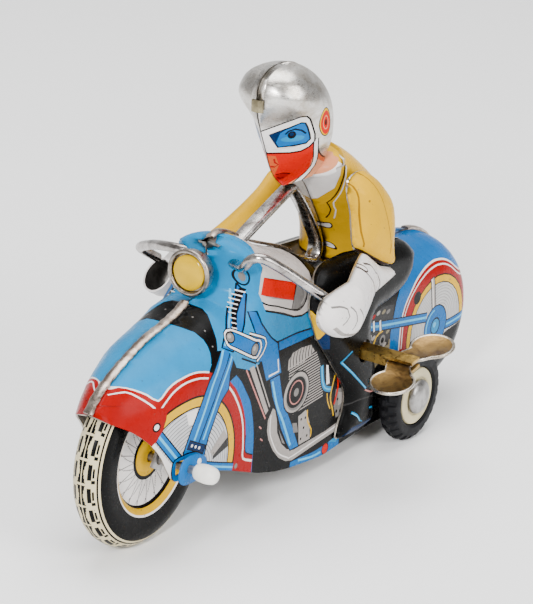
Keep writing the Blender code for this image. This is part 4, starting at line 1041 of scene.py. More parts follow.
LAMP_SHELL = [
    (0.0, 0.0), (1.6, -0.05), (3.0, -0.35), (4.1, -1.0), (4.9, -1.9), (5.5, -3.0), (5.85, -4.2),
    (6.0, -5.2), (6.15, -5.6), (6.1, -6.0), (5.8, -6.25), (5.4, -6.35), (5.05, -6.15), (4.9, -5.7),
    (4.9, -5.05), (0.0, -5.05),
]
LAMP_LENS = [
    (0.0, -5.2), (4.5, -5.2), (4.6, -5.7), (4.45, -6.0), (3.8, -6.25), (2.6, -6.5), (1.2, -6.66),
    (0.0, -6.7),
]
BAR_LEFT = [
    (0.0, -31.8, 67.4), (5.0, -32.0, 67.5), (9.0, -34.2, 67.8), (12.0, -36.2, 68.7), (14.2, -36.6, 71.2),
    (17.2, -35.6, 71.9), (21.0, -31.4, 68.6), (26.4, -25.4, 62.9), (28.0, -23.2, 61.0),
    (27.9, -20.6, 59.0), (27.4, -15.0, 55.6),
]
BAR_RIGHT = [
    (-5.0, -32.0, 67.5), (-9.0, -33.4, 67.8), (-14.0, -33.0, 67.3), (-20.0, -29.4, 65.2),
    (-26.6, -24.6, 62.0), (-28.6, -22.4, 60.4), (-28.7, -19.6, 58.6), (-28.4, -15.0, 55.8),
]
BAR_RADIUS = 1.3
LOOP_PATH = [
    (-24.6, 66.0), (-21.0, 68.6), (0.6, 76.6), (2.6, 77.0), (4.4, 75.8), (9.8, 69.6), (15.4, 61.6),
    (17.0, 58.2), (16.6, 55.2), (14.6, 53.9), (11.0, 55.0), (4.0, 57.2),
]
LOOP_SECTION = [
    (-2.1, -0.55), (-1.85, -0.8), (1.85, -0.8), (2.1, -0.55), (2.1, 0.3), (1.8, 0.68), (1.2, 0.8),
    (-1.2, 0.8), (-1.8, 0.68), (-2.1, 0.3),
]


def build_headlamp():
    mesh = turned("lamp_shell", LAMP_SHELL, LAMP_CENTRE, LAMP_TIN, 72, 50.0, "Y")
    add_piece(mesh, "frame", "tarnished_tin", "headlamp_shell")
    mesh = turned("lamp_lens", LAMP_LENS, LAMP_CENTRE, GLASS, 56, 60.0, "Y")
    add_piece(mesh, "frame", "printed_yellow", "headlamp_lens")


def build_handlebar():
    rings = swept_rings(smooth_path(BAR_RIGHT[::-1] + BAR_LEFT, 1.0), circle_section(BAR_RADIUS, 20))
    add_piece(rings_mesh("bar_wire", rings, 40.0, BAR_TIN), "frame", "bright_tin", "handlebar")


def build_loop():
    rings = flat_band_rings(smooth_path(LOOP_PATH, 0.9), LOOP_SECTION)
    add_piece(rings_mesh("loop_band", rings, 60.0, BRIGHT_TIN), "frame", "bright_tin", "tank_loop")


# ---------------------------------------------------------------- rider

TORSO_FRONT = [(6.2, 79.3), (9.7, 76.2), (13.6, 70.6), (17.8, 64.2), (20.6, 58.2), (21.0, 51.6)]
TORSO_BACK = [
    (41.5, 51.6), (44.0, 57.5), (41.4, 66.0), (35.8, 73.2), (28.6, 79.4), (21.4, 84.4), (15.0, 87.8),
]
HEAD_EDGE = [
    (-1.2, 78.4), (-4.6, 81.0), (-7.6, 84.8), (-9.6, 89.2), (-12.8, 95.8), (-14.8, 101.0), (-15.1, 105.2),
    (-13.6, 108.8), (-9.6, 111.3), (-4.2, 111.8), (1.4, 110.6), (6.2, 107.4), (9.6, 102.6), (11.2, 96.8),
    (11.2, 91.0), (11.6, 86.2),
]
LEG_LOWER = [
    (-4.5, 41.0), (1.0, 34.5), (8.8, 25.0), (11.2, 20.0), (10.6, 15.8), (9.0, 12.4), (9.2, 8.4),
    (24.0, 8.9), (24.6, 14.0), (24.4, 19.0), (23.0, 28.0), (20.0, 36.5), (21.0, 41.0), (28.0, 42.2),
    (35.4, 44.2), (40.0, 48.5),
]
LEFT_THIGH = [
    (41.0, 54.0), (37.0, 57.0), (30.0, 58.5), (14.0, 59.6), (6.0, 59.8), (-1.0, 59.4), (-6.0, 57.2),
    (-8.8, 53.5), (-8.4, 48.6),
]
RIGHT_THIGH = [
    (40.4, 50.4), (36.0, 51.6), (30.0, 52.4), (14.0, 53.8), (8.0, 53.4), (2.0, 52.2), (-4.0, 50.4),
    (-7.6, 48.8), (-7.6, 46.0),
]
SLEEVE_OUTLINE = [
    (8.2, 80.6), (13.5, 81.8), (18.5, 79.6), (22.6, 75.6), (24.9, 71.6), (24.6, 66.0), (22.8, 61.0),
    (21.6, 55.6), (16.0, 57.6), (6.9, 63.2), (6.6, 68.0), (7.2, 73.0), (6.6, 77.6),
]
GLOVE_OUTLINE = [
    (6.0, 62.9), (-4.0, 63.9), (-13.4, 63.2), (-21.0, 62.6), (-27.0, 61.6), (-29.2, 57.8), (-26.0, 53.4),
    (-18.0, 49.2), (-8.0, 48.6), (4.0, 49.2), (13.0, 50.6), (22.8, 53.4), (15.4, 57.0),
]
SMOOTH_TORSO_FRONT = smooth_path(TORSO_FRONT, 1.5)
SMOOTH_TORSO_BACK = smooth_path(TORSO_BACK, 1.5)
SMOOTH_HEAD_EDGE = smooth_path(HEAD_EDGE, 1.0)
BROW = SMOOTH_HEAD_EDGE.index(HEAD_EDGE[7])
SMOOTH_FACE = SMOOTH_HEAD_EDGE[: BROW + 1]
SMOOTH_HEAD_BACK = SMOOTH_HEAD_EDGE[BROW:]
SMOOTH_SLEEVE = smooth_path(SLEEVE_OUTLINE, 1.4, closed=True)
SMOOTH_GLOVE = smooth_path(GLOVE_OUTLINE, 1.4, closed=True)
SLEEVE_EDGE = SMOOTH_SLEEVE + SMOOTH_SLEEVE[:1]
GLOVE_EDGE = SMOOTH_GLOVE + SMOOTH_GLOVE[:1]
TORSO_EDGE = SMOOTH_TORSO_FRONT + SMOOTH_TORSO_BACK
TORSO_HALF_WIDTH = 12.4
HEAD_HALF_WIDTH = 12.4
NECK_NARROWING = 4.8
CREASE_SOFTNESS = 8.0
LEG_HALF_WIDTH = 19.0
TANK_HALF_WIDTH = 15.0


def torso_height(y, z):
    front = edge_distance(SMOOTH_TORSO_FRONT, y, z)
    back = edge_distance(SMOOTH_TORSO_BACK, y, z)
    rise = dome(np.minimum(front, back), 10.0)
    return SEAM_HALF_GAP + (TORSO_HALF_WIDTH - SEAM_HALF_GAP) * rise


def head_height(y, z):
    """A round helmet over a flatter face, with a narrower neck."""
    width = HEAD_HALF_WIDTH - NECK_NARROWING * smooth_step(93.0, 79.0, z)
    ahead = edge_distance(SMOOTH_FACE, y, z)
    flat_face = 1 - (1 - np.minimum(1.0, ahead / 20.0)) ** 2
    front = flat_face + (dome(ahead, 14.0) - flat_face) * smooth_step(96.0, 106.0, z)
    back = dome(edge_distance(SMOOTH_HEAD_BACK, y, z), 12.5)
    blend = sum(np.maximum(part, 1e-3) ** -CREASE_SOFTNESS for part in (front, back))
    rise = np.minimum(np.minimum(front, back), blend ** (-1 / CREASE_SOFTNESS))
    return SEAM_HALF_GAP + (width - SEAM_HALF_GAP) * rise


def leg_height(outline):
    """A leg's face, which rises from the tank above and from the hip behind."""
    edge = outline + outline[:1]

    def height(y, z):
        tank = TANK_HALF_WIDTH - 0.8 * np.maximum(0.0, z - 56.0)
        hip = TANK_HALF_WIDTH - 1.5 * smooth_step(48.0, 56.0, z)
        base = tank + (hip - tank) * smooth_step(10.0, 18.0, y)
        outer = LEG_HALF_WIDTH - 1.2 * smooth_step(30.0, 12.0, z)
        return base + (outer - base) * dome(edge_distance(edge, y, z), 6.0)

    return height


def sleeve_height(y, z):
    base = 13.4 + 0.22 * (84.0 - z)
    return base + 4.6 * dome(edge_distance(SLEEVE_EDGE, y, z), 7.0)


def glove_height(y, z):
    base = np.clip(20.2 + 0.42 * (8.0 - y), 19.9, 29.8)
    return base + 4.7 * dome(edge_distance(GLOVE_EDGE, y, z), 6.0)


def head_art():
    art = Art("helmet", head_height)
    neck_top = [
        (-0.6, 93.0), (1.3, 89.4), (3.3, 87.7), (5.2, 86.5), (7.4, 85.6), (9.7, 84.9), (14.0, 83.6),
    ]
    art.fill("flesh", *neck_top, (16.0, 74.0), (-12.0, 74.0), (-12.0, 90.0))
    art.line("orange", 1.3, (1.6, 88.6), (3.5, 87.0), (5.4, 85.8), (7.6, 84.9), (9.9, 84.2), (14.0, 82.8))
    art.line("line", 0.45, *neck_top)
    art.fill(
        "bright_red", (-12.0, 89.4), (-0.9, 91.6), (0.8, 88.0), (2.4, 85.5), (3.4, 83.6), (3.4, 81.9),
        (2.2, 80.5), (0.2, 79.1), (-2.0, 76.0), (-14.0, 78.0),
    )
    art.fill("orange", (-9.6, 88.4), (-7.6, 88.2), (-6.0, 85.4), (-5.6, 82.4), (-7.0, 82.0), (-9.4, 86.0))
    art.line("red", 0.45, (-7.7, 87.4), (-7.2, 86.3), (-6.2, 85.6), (-6.7, 84.9), (-7.8, 85.2))
    art.fill("red", (-5.2, 82.1), (-3.6, 82.6), (-1.4, 82.1), (-2.4, 80.9), (-3.6, 80.3), (-4.4, 80.6))
    art.line("line", 0.32, (-5.4, 82.4), (-3.7, 82.75), (-1.4, 82.2))
    art.line("line", 0.28, (-4.5, 81.4), (-3.4, 81.1), (-2.7, 81.3))
    strap = [
        (-0.6, 92.8), (0.4, 90.0), (1.9, 87.6), (3.5, 85.5), (4.3, 83.6), (3.9, 81.6), (2.6, 79.8),
        (0.6, 77.6),
    ]
    art.line("line", 1.75, *strap)
    art.line("white", 1.05, *strap)
    goggle_edge = [
        (-20.0, 99.0), (-12.8, 95.6), (-7.2, 99.8), (-5.6, 99.8), (-4.2, 98.8), (-2.6, 96.6),
        (-1.3, 94.2), (-0.8, 92.3), (-1.5, 90.6), (-3.0, 89.4), (-5.2, 89.05), (-9.4, 89.1),
    ]
    art.edged("white", 0.5, *goggle_edge, (-11.0, 89.9), (-20.0, 93.4))
    lens = [
        (-10.9, 94.5), (-7.6, 96.7), (-5.9, 97.9), (-4.8, 97.7), (-3.7, 96.3), (-2.55, 94.1),
        (-2.1, 92.9), (-2.7, 91.75), (-5.05, 91.2), (-8.1, 90.8),
    ]
    art.edged("blue", 0.5, *lens)
    art.fill("dark_blue", (-10.9, 94.5), (-8.0, 96.3), (-9.1, 95.0), (-9.0, 92.4), (-8.2, 90.9))
    art.ellipse("bright_blue", (-6.0, 93.3), 2.4, 0.9, 4.0)
    art.disc("line", (-6.6, 94.4), 1.15, 18)
    art.disc("dark_blue", (-6.7, 94.6), 0.55, 12)
    art.line("line", 0.5, (-8.0, 94.6), (-7.6, 95.5), (-6.5, 96.05), (-4.9, 95.6), (-3.6, 94.6))
    for ink, half_y, half_z in (
        ("line", 2.05, 4.25), ("yellow", 1.8, 3.95), ("bright_red", 1.6, 3.5),
        ("flesh", 0.95, 2.1), ("bright_red", 0.75, 1.75), ("brown", 0.38, 0.95),
    ):
        shift = 0.0 if ink in ("line", "yellow") else 0.18
        art.ellipse(ink, (1.05 + shift, 97.2 - shift), half_y, half_z, 17.0)
    return art


def torso_art():
    art = Art("jacket", torso_height)
    lapel_back = [(10.5, 83.6), (12.1, 80.0), (13.4, 75.4), (14.2, 70.8)]
    lapel_front = [(4.0, 75.0), (7.8, 73.8), (11.7, 71.1), (13.2, 69.2), (15.2, 66.9), (17.1, 65.2)]
    art.fill(
        "white", (2.0, 79.0), *lapel_front[:3], (13.2, 71.2), (12.4, 76.0), (11.0, 80.4),
        (9.2, 84.0),
    )
    art.line("brown", 0.5, *lapel_back)
    art.line("brown", 0.45, (14.2, 70.8), (15.9, 68.5), (17.3, 65.4))
    art.line("brown", 0.45, *lapel_front)
    art.line(
        "white", 0.4, (11.0, 83.4), (12.7, 79.8), (14.0, 75.4), (14.8, 71.0), (16.4, 68.6),
        (17.8, 65.6),
    )
    for centre in ((18.7, 62.9), (20.9, 56.8)):
        art.disc("brown", centre, 1.2, 20)
        art.disc("white", centre, 0.8, 18)
    art.line("ochre", 0.4, (17.4, 75.4), (20.6, 68.5), (23.0, 62.3), (23.8, 54.0))
    art.line("brown", 0.8, (20.0, 52.6), (30.0, 52.3), (44.0, 52.3))
    art.line("ochre", 0.4, (28.0, 78.4), (30.0, 68.0), (29.6, 56.0))
    return art


def leg_art():
    art = Art("black")
    art.fill(
        "dark_blue", (-9.4, 47.6), (-6.2, 47.2), (-3.6, 44.0), (-0.6, 37.4), (-1.8, 36.4),
        (-5.6, 41.0),
    )
    art.fill("yellow", (-8.6, 50.0), (-6.4, 47.0), (-4.0, 43.4), (-4.3, 40.8), (-6.2, 42.8), (-9.4, 47.4))
    art.line("bright_blue", 0.55, (7.5, 34.9), (4.6, 32.2), (9.6, 27.8), (16.6, 21.4), curved=False)
    art.line("pale_blue", 0.2, (4.9, 32.1), (9.7, 27.8), (16.4, 21.6), curved=False)
    art.line("pink", 0.4, (16.2, 21.1), (19.8, 19.4), (24.6, 18.3))
    art.line("dark_grey", 0.5, (20.8, 17.8), (24.8, 15.4))
    art.fill("dark_blue", (12.0, 11.2), (16.0, 10.9), (25.0, 10.4), (25.0, 9.2), (9.0, 9.0))
    art.line("bright_blue", 0.7, (12.2, 15.4), (14.1, 14.3), (15.8, 12.2), (17.2, 11.5), end_width=0.25)
    art.line("pale_blue", 0.3, (12.4, 15.2), (14.1, 14.0), (15.8, 12.1))
    art.line("bright_blue", 0.6, (20.0, 14.6), (22.4, 13.9), (24.4, 12.4), end_width=0.25)
    art.line("dark_grey", 0.35, (10.0, 16.8), (14.0, 18.6), (20.0, 18.0), (24.4, 17.2))
    return art


def sleeve_art():
    art = Art("jacket")
    art.line("ochre", 0.35, (7.6, 80.4), (8.0, 74.0), (7.5, 68.0), (7.6, 64.0))
    art.line("ochre", 0.3, (12.0, 82.0), (15.6, 76.0), (17.4, 68.0), (17.6, 60.0))
    art.line("brown", 0.6, (5.9, 63.8), (11.0, 60.7), (16.0, 57.8), (24.6, 53.8), curved=False)
    art.disc("ochre", (10.6, 75.5), 0.35, 10)
    return art


def glove_art():
    art = Art("white")
    art.line("brown", 0.4, (-6.4, 64.3), (-2.7, 60.6), (0.7, 57.7), (2.75, 55.6), (5.0, 51.6))
    art.line("brown", 0.4, (-1.8, 63.5), (1.5, 62.2), (4.4, 59.3), (6.5, 58.5), (9.0, 56.4), (11.0, 51.4))
    art.ellipse("brown", (-3.9, 63.2), 1.7, 0.85, -28.0)
    art.ellipse("white", (-3.9, 63.2), 1.3, 0.5, -28.0)
    art.line("grey", 0.45, (-27.0, 60.4), (-24.6, 60.2), (-22.0, 59.0), (-21.4, 57.0), (-23.4, 55.0))
    art.line("grey", 0.4, (-20.6, 59.2), (-18.4, 57.2), (-17.6, 54.6), (-18.6, 52.4))
    art.line("grey", 0.35, (-16.6, 57.6), (-14.8, 55.4), (-14.6, 52.8), (-15.6, 50.8))
    art.line("light_grey", 0.8, (-25.4, 54.6), (-19.0, 50.8), (-8.0, 49.9), (4.0, 50.4), (13.0, 51.8))
    return art


# Right arm: centre, then half size along X and across the arm
RIGHT_SLEEVE = [
    ((-15.6, 22.6, 71.0), 1.6, 3.4), ((-15.6, 21.0, 69.9), 2.5, 5.0), ((-15.6, 15.0, 66.3), 2.8, 5.0),
    ((-16.6, 5.6, 61.9), 3.3, 4.6), ((-19.2, -2.0, 57.6), 3.6, 4.2), ((-21.6, -8.0, 55.3), 3.7, 4.0),
]
RIGHT_WRIST = [((-22.5, -9.2, 55.0), 3.6, 3.9), ((-23.8, -11.6, 54.2), 4.0, 4.4)]
RIGHT_KNUCKLE = (-25.4, -14.6, 50.8)
RIGHT_PALM = (-26.0, -18.0, 52.4)
PALM_FACING = Vector((-0.15, -0.74, 0.65)).normalized()
GLOVE_MOUTH = 1.2


def oval_ring(centre, along, half_x, half_across):
    across = along.cross(Vector((1.0, 0.0, 0.0))).normalized()
    sideways = across.cross(along).normalized()
    return [
        Vector(centre) + sideways * (half_x * a) + across * (half_across * b)
        for a, b in circle_section(1.0, 36)
    ]


def eased(shapes):
    """Rings between the given ones, on smooth curves through them."""
    flat = [(*centre, *along, a, b) for centre, along, a, b in shapes]
    return [
        (values[:3], Vector(values[3:6]).normalized(), values[6], values[7])
        for values in smooth_path(flat, 1.0)
    ]


def build_right_sleeve():
    shapes = []
    for i, (centre, half_x, half_across) in enumerate(RIGHT_SLEEVE):
        before = Vector(RIGHT_SLEEVE[max(i - 1, 0)][0])
        after = Vector(RIGHT_SLEEVE[min(i + 1, len(RIGHT_SLEEVE) - 1)][0])
        shapes.append((centre, (after - before).normalized(), half_x, half_across))
    rings = [oval_ring(*shape) for shape in eased(shapes)]
    mesh = rings_mesh("jacket_sleeve_right", rings, 60.0, INKS["jacket"])
    add_piece(mesh, "frame", "printed_yellow", "right_sleeve")


def build_right_glove():
    """A hollow glove round the end of the bar, white outside, with dark steel inside as painted shade in
    the hollow.
    """
    wrist = Vector(RIGHT_WRIST[0][0])
    arm = (Vector(RIGHT_WRIST[1][0]) - wrist).normalized()
    shapes = [(centre, arm, a, b) for centre, a, b in RIGHT_WRIST]
    shapes.append((RIGHT_KNUCKLE, (arm + PALM_FACING * 0.2).normalized(), 4.6, 5.0))
    shapes.append((RIGHT_PALM, PALM_FACING, 4.4, 5.0))
    skin = eased(shapes)
    outside = [oval_ring(*shape) for shape in skin]
    inside = [
        oval_ring(centre, along, a - TIN, b - TIN)
        for centre, along, a, b in skin[:0:-1]
        if (Vector(centre) - wrist).length > GLOVE_MOUTH
    ]
    # DARK_STEEL on the inner faces is painted shade for the glove's hollow, darker than the bare tin
    # inside other pieces.
    mesh = rings_mesh("glove_right", outside + inside, 60.0, INKS["white"], DARK_STEEL)
    inner_start = len(outside) * len(outside[0])
    for polygon in mesh.polygons:
        polygon.material_index = int(polygon.index >= inner_start)
    add_piece(mesh, "frame", "printed_white", "right_glove")


FINE_ROWS = (0.15, 0.5, 1.1, 2.0, 3.2)


def build_rider():
    head_outline = SMOOTH_HEAD_EDGE + [(5.6, 80.2)]
    torso_outline = TORSO_EDGE + [(11.6, 84.8)]
    for word, side, thigh, holes in (
        ("left", 1, LEFT_THIGH, [oval(WINDING, 3.2, 3.2)]), ("right", -1, RIGHT_THIGH, []),
    ):
        add_printed(
            f"printed_head_{word}", f"head_{word}_half", "bright_tin", head_outline, SMOOTH_HEAD_EDGE,
            head_art(), head_height, side, 0.9, FINE_ROWS,
        )
        add_printed(
            f"printed_jacket_{word}", f"rider_{word}_half", "printed_yellow", torso_outline,
            TORSO_EDGE, torso_art(), torso_height, side, 1.4, FINE_ROWS,
        )
        leg = smooth_path(thigh, 1.4) + smooth_path(LEG_LOWER, 1.4)
        add_printed(
            f"printed_leg_{word}", f"{word}_leg", "printed_black", leg, leg + leg[:1], leg_art(),
            leg_height(leg), side, 1.4, FINE_ROWS[:4], holes,
        )
    add_printed(
        "printed_sleeve_left", "left_sleeve", "printed_yellow", SMOOTH_SLEEVE, SLEEVE_EDGE,
        sleeve_art(), sleeve_height, 1, 1.3, FINE_ROWS[:4],
    )
    add_printed(
        "printed_glove_left", "left_glove", "printed_white", SMOOTH_GLOVE, GLOVE_EDGE,
        glove_art(), glove_height, 1, 1.3, FINE_ROWS[:4],
    )
    build_right_sleeve()
    build_right_glove()


NECK_MIDDLE = (10.3, 83.4)
NECK_SLOPE = math.radians(45.5)
NECK_SIDES = 56
# From below: how far up the neck, then half size along X and from front to back
NECK_RINGS = [(-0.9, 10.2, 5.2), (-0.4, 10.3, 5.4), (0.4, 9.4, 5.2), (1.2, 8.2, 4.7), (1.7, 6.6, 4.0)]


def build_collar():
    """The printed collar that stands between the jacket and the head."""
    cosine, sine = math.cos(NECK_SLOPE), math.sin(NECK_SLOPE)
    middle_y, middle_z = NECK_MIDDLE
    rings = []
    for lift, half_x, half_along in NECK_RINGS:
        ring = []
        for a, b in circle_section(1.0, NECK_SIDES):
            along = half_along * b
            y, z = middle_y + along * cosine - lift * sine, middle_z + along * sine + lift * cosine
            ring.append((half_x * a, y, z))
        rings.append(ring)
    mesh = rings_mesh("neck_collar", rings, 60.0, INKS["white"], INKS["flesh"], INKS["jacket"])
    back_start = world(0.0, middle_y + 0.6, 0.0).y
    for polygon in mesh.polygons:
        skin = int(polygon.index >= 2 * NECK_SIDES)
        polygon.material_index = 2 if polygon.center.y > back_start else skin
    add_piece(mesh, "frame", "printed_white")


TAB_RINGS = [(-15.5, 104.6), (-15.6, 103.8), (-15.5, 102.2), (-15.4, 101.4)]
TAB_SECTION = [
    (-1.0, 0.1), (0.0, 0.0), (1.2, 0.05), (2.2, 0.15), (2.2, 0.55), (1.2, 0.7), (0.0, 0.7), (-1.0, 0.55),
]


def build_helmet_tab():
    """The folded end of the helmet's strip, which bends back towards its left edge."""
    rings = [
        [(x, y - thick + 0.06 * max(0.0, x) ** 2, z) for x, thick in TAB_SECTION]
        for y, z in TAB_RINGS
    ]
    mesh = rings_mesh("folded_tab", rings, 60.0, TAB_TIN)
    add_piece(mesh, "frame", "tarnished_tin", "helmet_tab")


# ---------------------------------------------------------------- front wheel

# (radius, half width) from the middle of the tread to its edge, and on to the bore
TREAD_PROFILE = [(23.9, 0.0), (23.88, 0.6), (23.65, 1.6), (23.15, 2.5), (22.3, 3.5)]
WALL_PROFILE = [
    (22.3, 3.5), (21.4, 4.1), (20.2, 4.5), (18.6, 4.75), (16.8, 4.7), (15.3, 4.55), (14.3, 4.15),
    (13.3, 3.4), (12.7, 2.7), (9.0, 2.7), (4.8, 2.85), (4.2, 3.2), (3.4, 3.55), (1.5, 3.6),
]
# Rings of ink on the side of the wheel: outer radius and ink, from the tread in
WALL_INKS = [
    (22.3, "line"), (22.05, "cream"), (21.5, "black"), (15.3, "white"), (14.6, "yellow"), (13.3, "line"),
    (12.9, "spokes"), (6.2, "black"), (5.1, "yellow"),
]
TREAD_BLOCKS = 24
SPOKES = 20
WHEEL_STEPS = 480
KNOB = [
    (0.0, 23.4), (0.9, 23.36), (1.6, 23.1), (2.05, 22.5), (2.3, 21.5), (2.4, 20.2), (2.3, 18.8),
    (2.05, 17.7), (1.75, 17.25), (1.4, 17.2), (1.4, 22.1), (0.0, 22.1),
]


def tread_ink(cell, offset):
    """The printed tread: a chain of hexagons with blocks on each side."""
    hexagon = 0.75 + 0.65 * abs(cell - 0.5) * 2.0
    if offset > 3.2 or abs(offset - hexagon) < 0.17:
        return "cream"
    if offset < hexagon:
        return "cream" if min(cell, 1 - cell) < 0.06 or offset < 0.1 else "black"
    if offset < 2.45:
        return "black" if 0.14 < cell < 0.82 and offset > 1.5 else "cream"
    if 0.3 < cell < 0.72 and 2.66 < offset < 3.0:
        return "black"
    return "black" if abs(cell - 0.88) < 0.06 or offset < 2.55 else "cream"


def wall_ink(radius, turn):
    """The ink on the wheel's side at a radius and a share of a turn."""
    ink = [name for outer, name in WALL_INKS if radius <= outer][-1]
    if ink != "spokes":
        return ink
    straight = (turn * SPOKES) % 1.0
    crossed = (turn * SPOKES + (radius - 4.9) * 0.16) % 1.0
    width = 0.36 / radius
    return "grey" if min(straight, 1 - straight, crossed, 1 - crossed) < width else "white"


def build_front_wheel():
    profile = smooth_path(TREAD_PROFILE, 0.22)[:-1] + smooth_path(WALL_PROFILE, 0.55)
    rows = profile[::-1] + [(r, -x) for r, x in profile[1:]]
    inks = ["black", "cream", "yellow", "line", "grey", "white"]
    numbers = []
    for (r0, x0), (r1, x1) in zip(rows, rows[1:] + rows[:1]):
        radius, offset = (r0 + r1) / 2, abs(x0 + x1) / 2
        for i in range(WHEEL_STEPS):
            turn = (i + 0.5) / WHEEL_STEPS
            if radius > WALL_INKS[0][0]:
                ink = tread_ink((turn * TREAD_BLOCKS) % 1.0, offset)
            else:
                ink = wall_ink(radius, turn)
            numbers.append(inks.index(ink))
    rings = [wheel_ring(FRONT_AXLE, [r] * WHEEL_STEPS, x) for r, x in rows]
    printed = [INKS[ink] for ink in inks]
    mesh = rings_mesh("printed_front_wheel", rings, 40.0, *printed, closed=True)
    mesh.polygons.foreach_set("material_index", np.array(numbers, np.int32))
    add_piece(mesh, "front_wheel_set", "black_rubber", "front_wheel")
    mesh = turned("axle_knob", KNOB, (0.0, *FRONT_AXLE), KNOB_IVORY, 48, 50.0)
    add_piece(mesh, "front_wheel_set", "ivory_plastic", "left_axle_knob")


BOSS_OUTLINE = [
    (-64.7, 24.4), (-62.6, 26.9), (-57.6, 26.7), (-53.8, 24.6), (-53.7, 21.6), (-56.6, 19.8),
    (-62.6, 20.0), (-64.8, 22.0),
]
BOSS_MIDDLE = (-59.3, 23.4)
BOSS_LAYERS = [(0.0, 14.7), (0.0, 15.1), (0.04, 15.3)]
BOSS_RIVETS = [(-57.0, 24.6), (-56.4, 21.6)]
RIVET = [(0.0, 15.2), (0.85, 15.2), (0.85, 15.4), (0.6, 15.6), (0.3, 15.7), (0.0, 15.72)]


def build_fork_boss():
    """The printed blue end plate of the fork, with two small rivets."""
    outline = smooth_path(BOSS_OUTLINE, 0.5, closed=True)
    middle_y, middle_z = BOSS_MIDDLE
    rings = [
        [(x, y + (middle_y - y) * inset, z + (middle_z - z) * inset) for y, z in outline]
        for inset, x in BOSS_LAYERS
    ]
    mesh = rings_mesh("fork_end_plate", rings, 60.0, INKS["blue"])
    add_piece(mesh, "steering", "printed_blue")
    for number, (y, z) in enumerate(BOSS_RIVETS, 1):
        mesh = turned(f"fork_rivet_{number}", RIVET, (0.0, y, z), INKS["white"], 20, 60.0)
        add_piece(mesh, "steering", "printed_white")


# ---------------------------------------------------------------- drive wheels

TYRE_PROFILE = [
    (8.3, 16.9), (8.9, 16.5), (10.2, 16.4), (11.4, 16.5), (12.0, 17.0), (12.45, 17.6), (12.8, 18.3),
    (12.9, 19.1), (12.9, 19.3), (12.8, 20.1), (12.45, 20.8), (12.0, 21.4), (11.4, 21.8), (10.4, 22.0),
    (9.0, 21.95), (8.3, 21.5),
]
HUB_PROFILE = [
    (1.8, 16.8), (7.9, 16.8), (8.0, 17.0), (8.0, 21.2), (7.8, 21.6), (7.2, 21.75), (5.8, 21.95),
    (5.45, 21.8), (5.2, 21.4), (1.8, 21.4),
]
CAP_PROFILE = [
    (0.0, 21.75), (4.85, 21.75), (4.9, 22.0), (4.75, 22.5), (4.3, 23.0), (3.6, 23.4), (2.4, 23.75),
    (1.2, 23.93), (0.0, 24.0),
]
LUGS = 26
LUG_STEPS = 10
GROOVE_STEPS = 4
GROOVE_DEPTH = 0.75
GROOVE_FOOT = 11.2
MIDDLE_GROOVE = 0.35
TYRE_MIDDLE = 19.2


def tyre_radius(r, x, i):
    """The radius at one step round a tyre, whose two rows of lugs are staggered."""
    phase = (i + (LUG_STEPS // 2 if x > TYRE_MIDDLE else 0)) % LUG_STEPS
    groove = GROOVE_DEPTH if r > GROOVE_FOOT and phase < GROOVE_STEPS else 0.0
    if abs(x - TYRE_MIDDLE) < 0.2:
        groove = MIDDLE_GROOVE
    return r - groove * min(1.0, (r - GROOVE_FOOT) / 0.6 if r < GROOVE_FOOT + 0.6 else 1.0)


def build_drive_wheels():
    centre = (0.0, *DRIVE_AXLE)
    for word, side in (("left", 1), ("right", -1)):
        rings = []
        for r, x in TYRE_PROFILE:
            radii = [tyre_radius(r, x, i) for i in range(LUGS * LUG_STEPS)]
            rings.append(wheel_ring(DRIVE_AXLE, radii, side * x))
        mesh = rings_mesh(f"lugged_tyre_{word}", rings, 28.0, RUBBER, closed=True)
        add_piece(mesh, "drive_wheels", "black_rubber", f"{word}_tyre")
        hub = [(r, side * x) for r, x in HUB_PROFILE]
        mesh = turned(f"wheel_hub_{word}", hub, centre, HUB_CREAM, 64, 45.0)
        add_piece(mesh, "drive_wheels", "cream_plastic", f"{word}_hub")
        cap = [(r, side * x) for r, x in CAP_PROFILE]
        mesh = turned(f"domed_cap_{word}", cap, centre, STEEL, 56, 60.0)
        add_piece(mesh, "drive_wheels", "tarnished_tin", f"{word}_hub_cap")


# ---------------------------------------------------------------- key

KEY_TILT = math.radians(10.7)
KEY_TIP_X = 34.4
KEY_SLOT_X = 26.3
KEY_MIDDLE_X = 30.5
KEY_HALF_SLOT = 2.0
LOBE_CENTRE = (10.3, 33.3)
LOBE_RADIUS = 6.1
# The rolled rim of the plate, from its left face to its right: inset and level
KEY_RIM = [
    (0.13, 0.24), (0.09, 0.4), (0.03, 0.4), (0.0, 0.22), (0.0, -0.22), (0.03, -0.4), (0.09, -0.4),
    (0.13, -0.24),
]


def key_point(a, x, inset, level):
    """A point of the plate (across, along X) drawn in towards its own lobe's middle."""
    if abs(a) < KEY_HALF_SLOT + 0.5:
        x += (KEY_MIDDLE_X - x) * inset * 0.8
    else:
        x += (LOBE_CENTRE[1] - x) * inset
        a += (math.copysign(LOBE_CENTRE[0], a) - a) * inset
    cosine, sine = math.cos(KEY_TILT), math.sin(KEY_TILT)
    return (x, WINDING[0] + (a * cosine - level * sine), WINDING[1] + (a * sine + level * cosine))


def build_key():
    lobe = arc(LOBE_CENTRE, LOBE_RADIUS, -130.0, 150.0, 40)
    half = [(KEY_HALF_SLOT, KEY_SLOT_X + 0.5), *lobe, (KEY_HALF_SLOT, KEY_TIP_X - 0.6)]
    outline = half + [(-a, x) for a, x in half[::-1]]
    rings = [[key_point(*point, inset, level) for point in outline] for inset, level in KEY_RIM]
    mesh = rings_mesh("key_wing_plate", rings, 50.0, RIM_TIN, WING_TIN, plain_caps=False)
    add_piece(mesh, "winding", "tarnished_tin", "key_wings")


# ---------------------------------------------------------------- plain CAD pieces

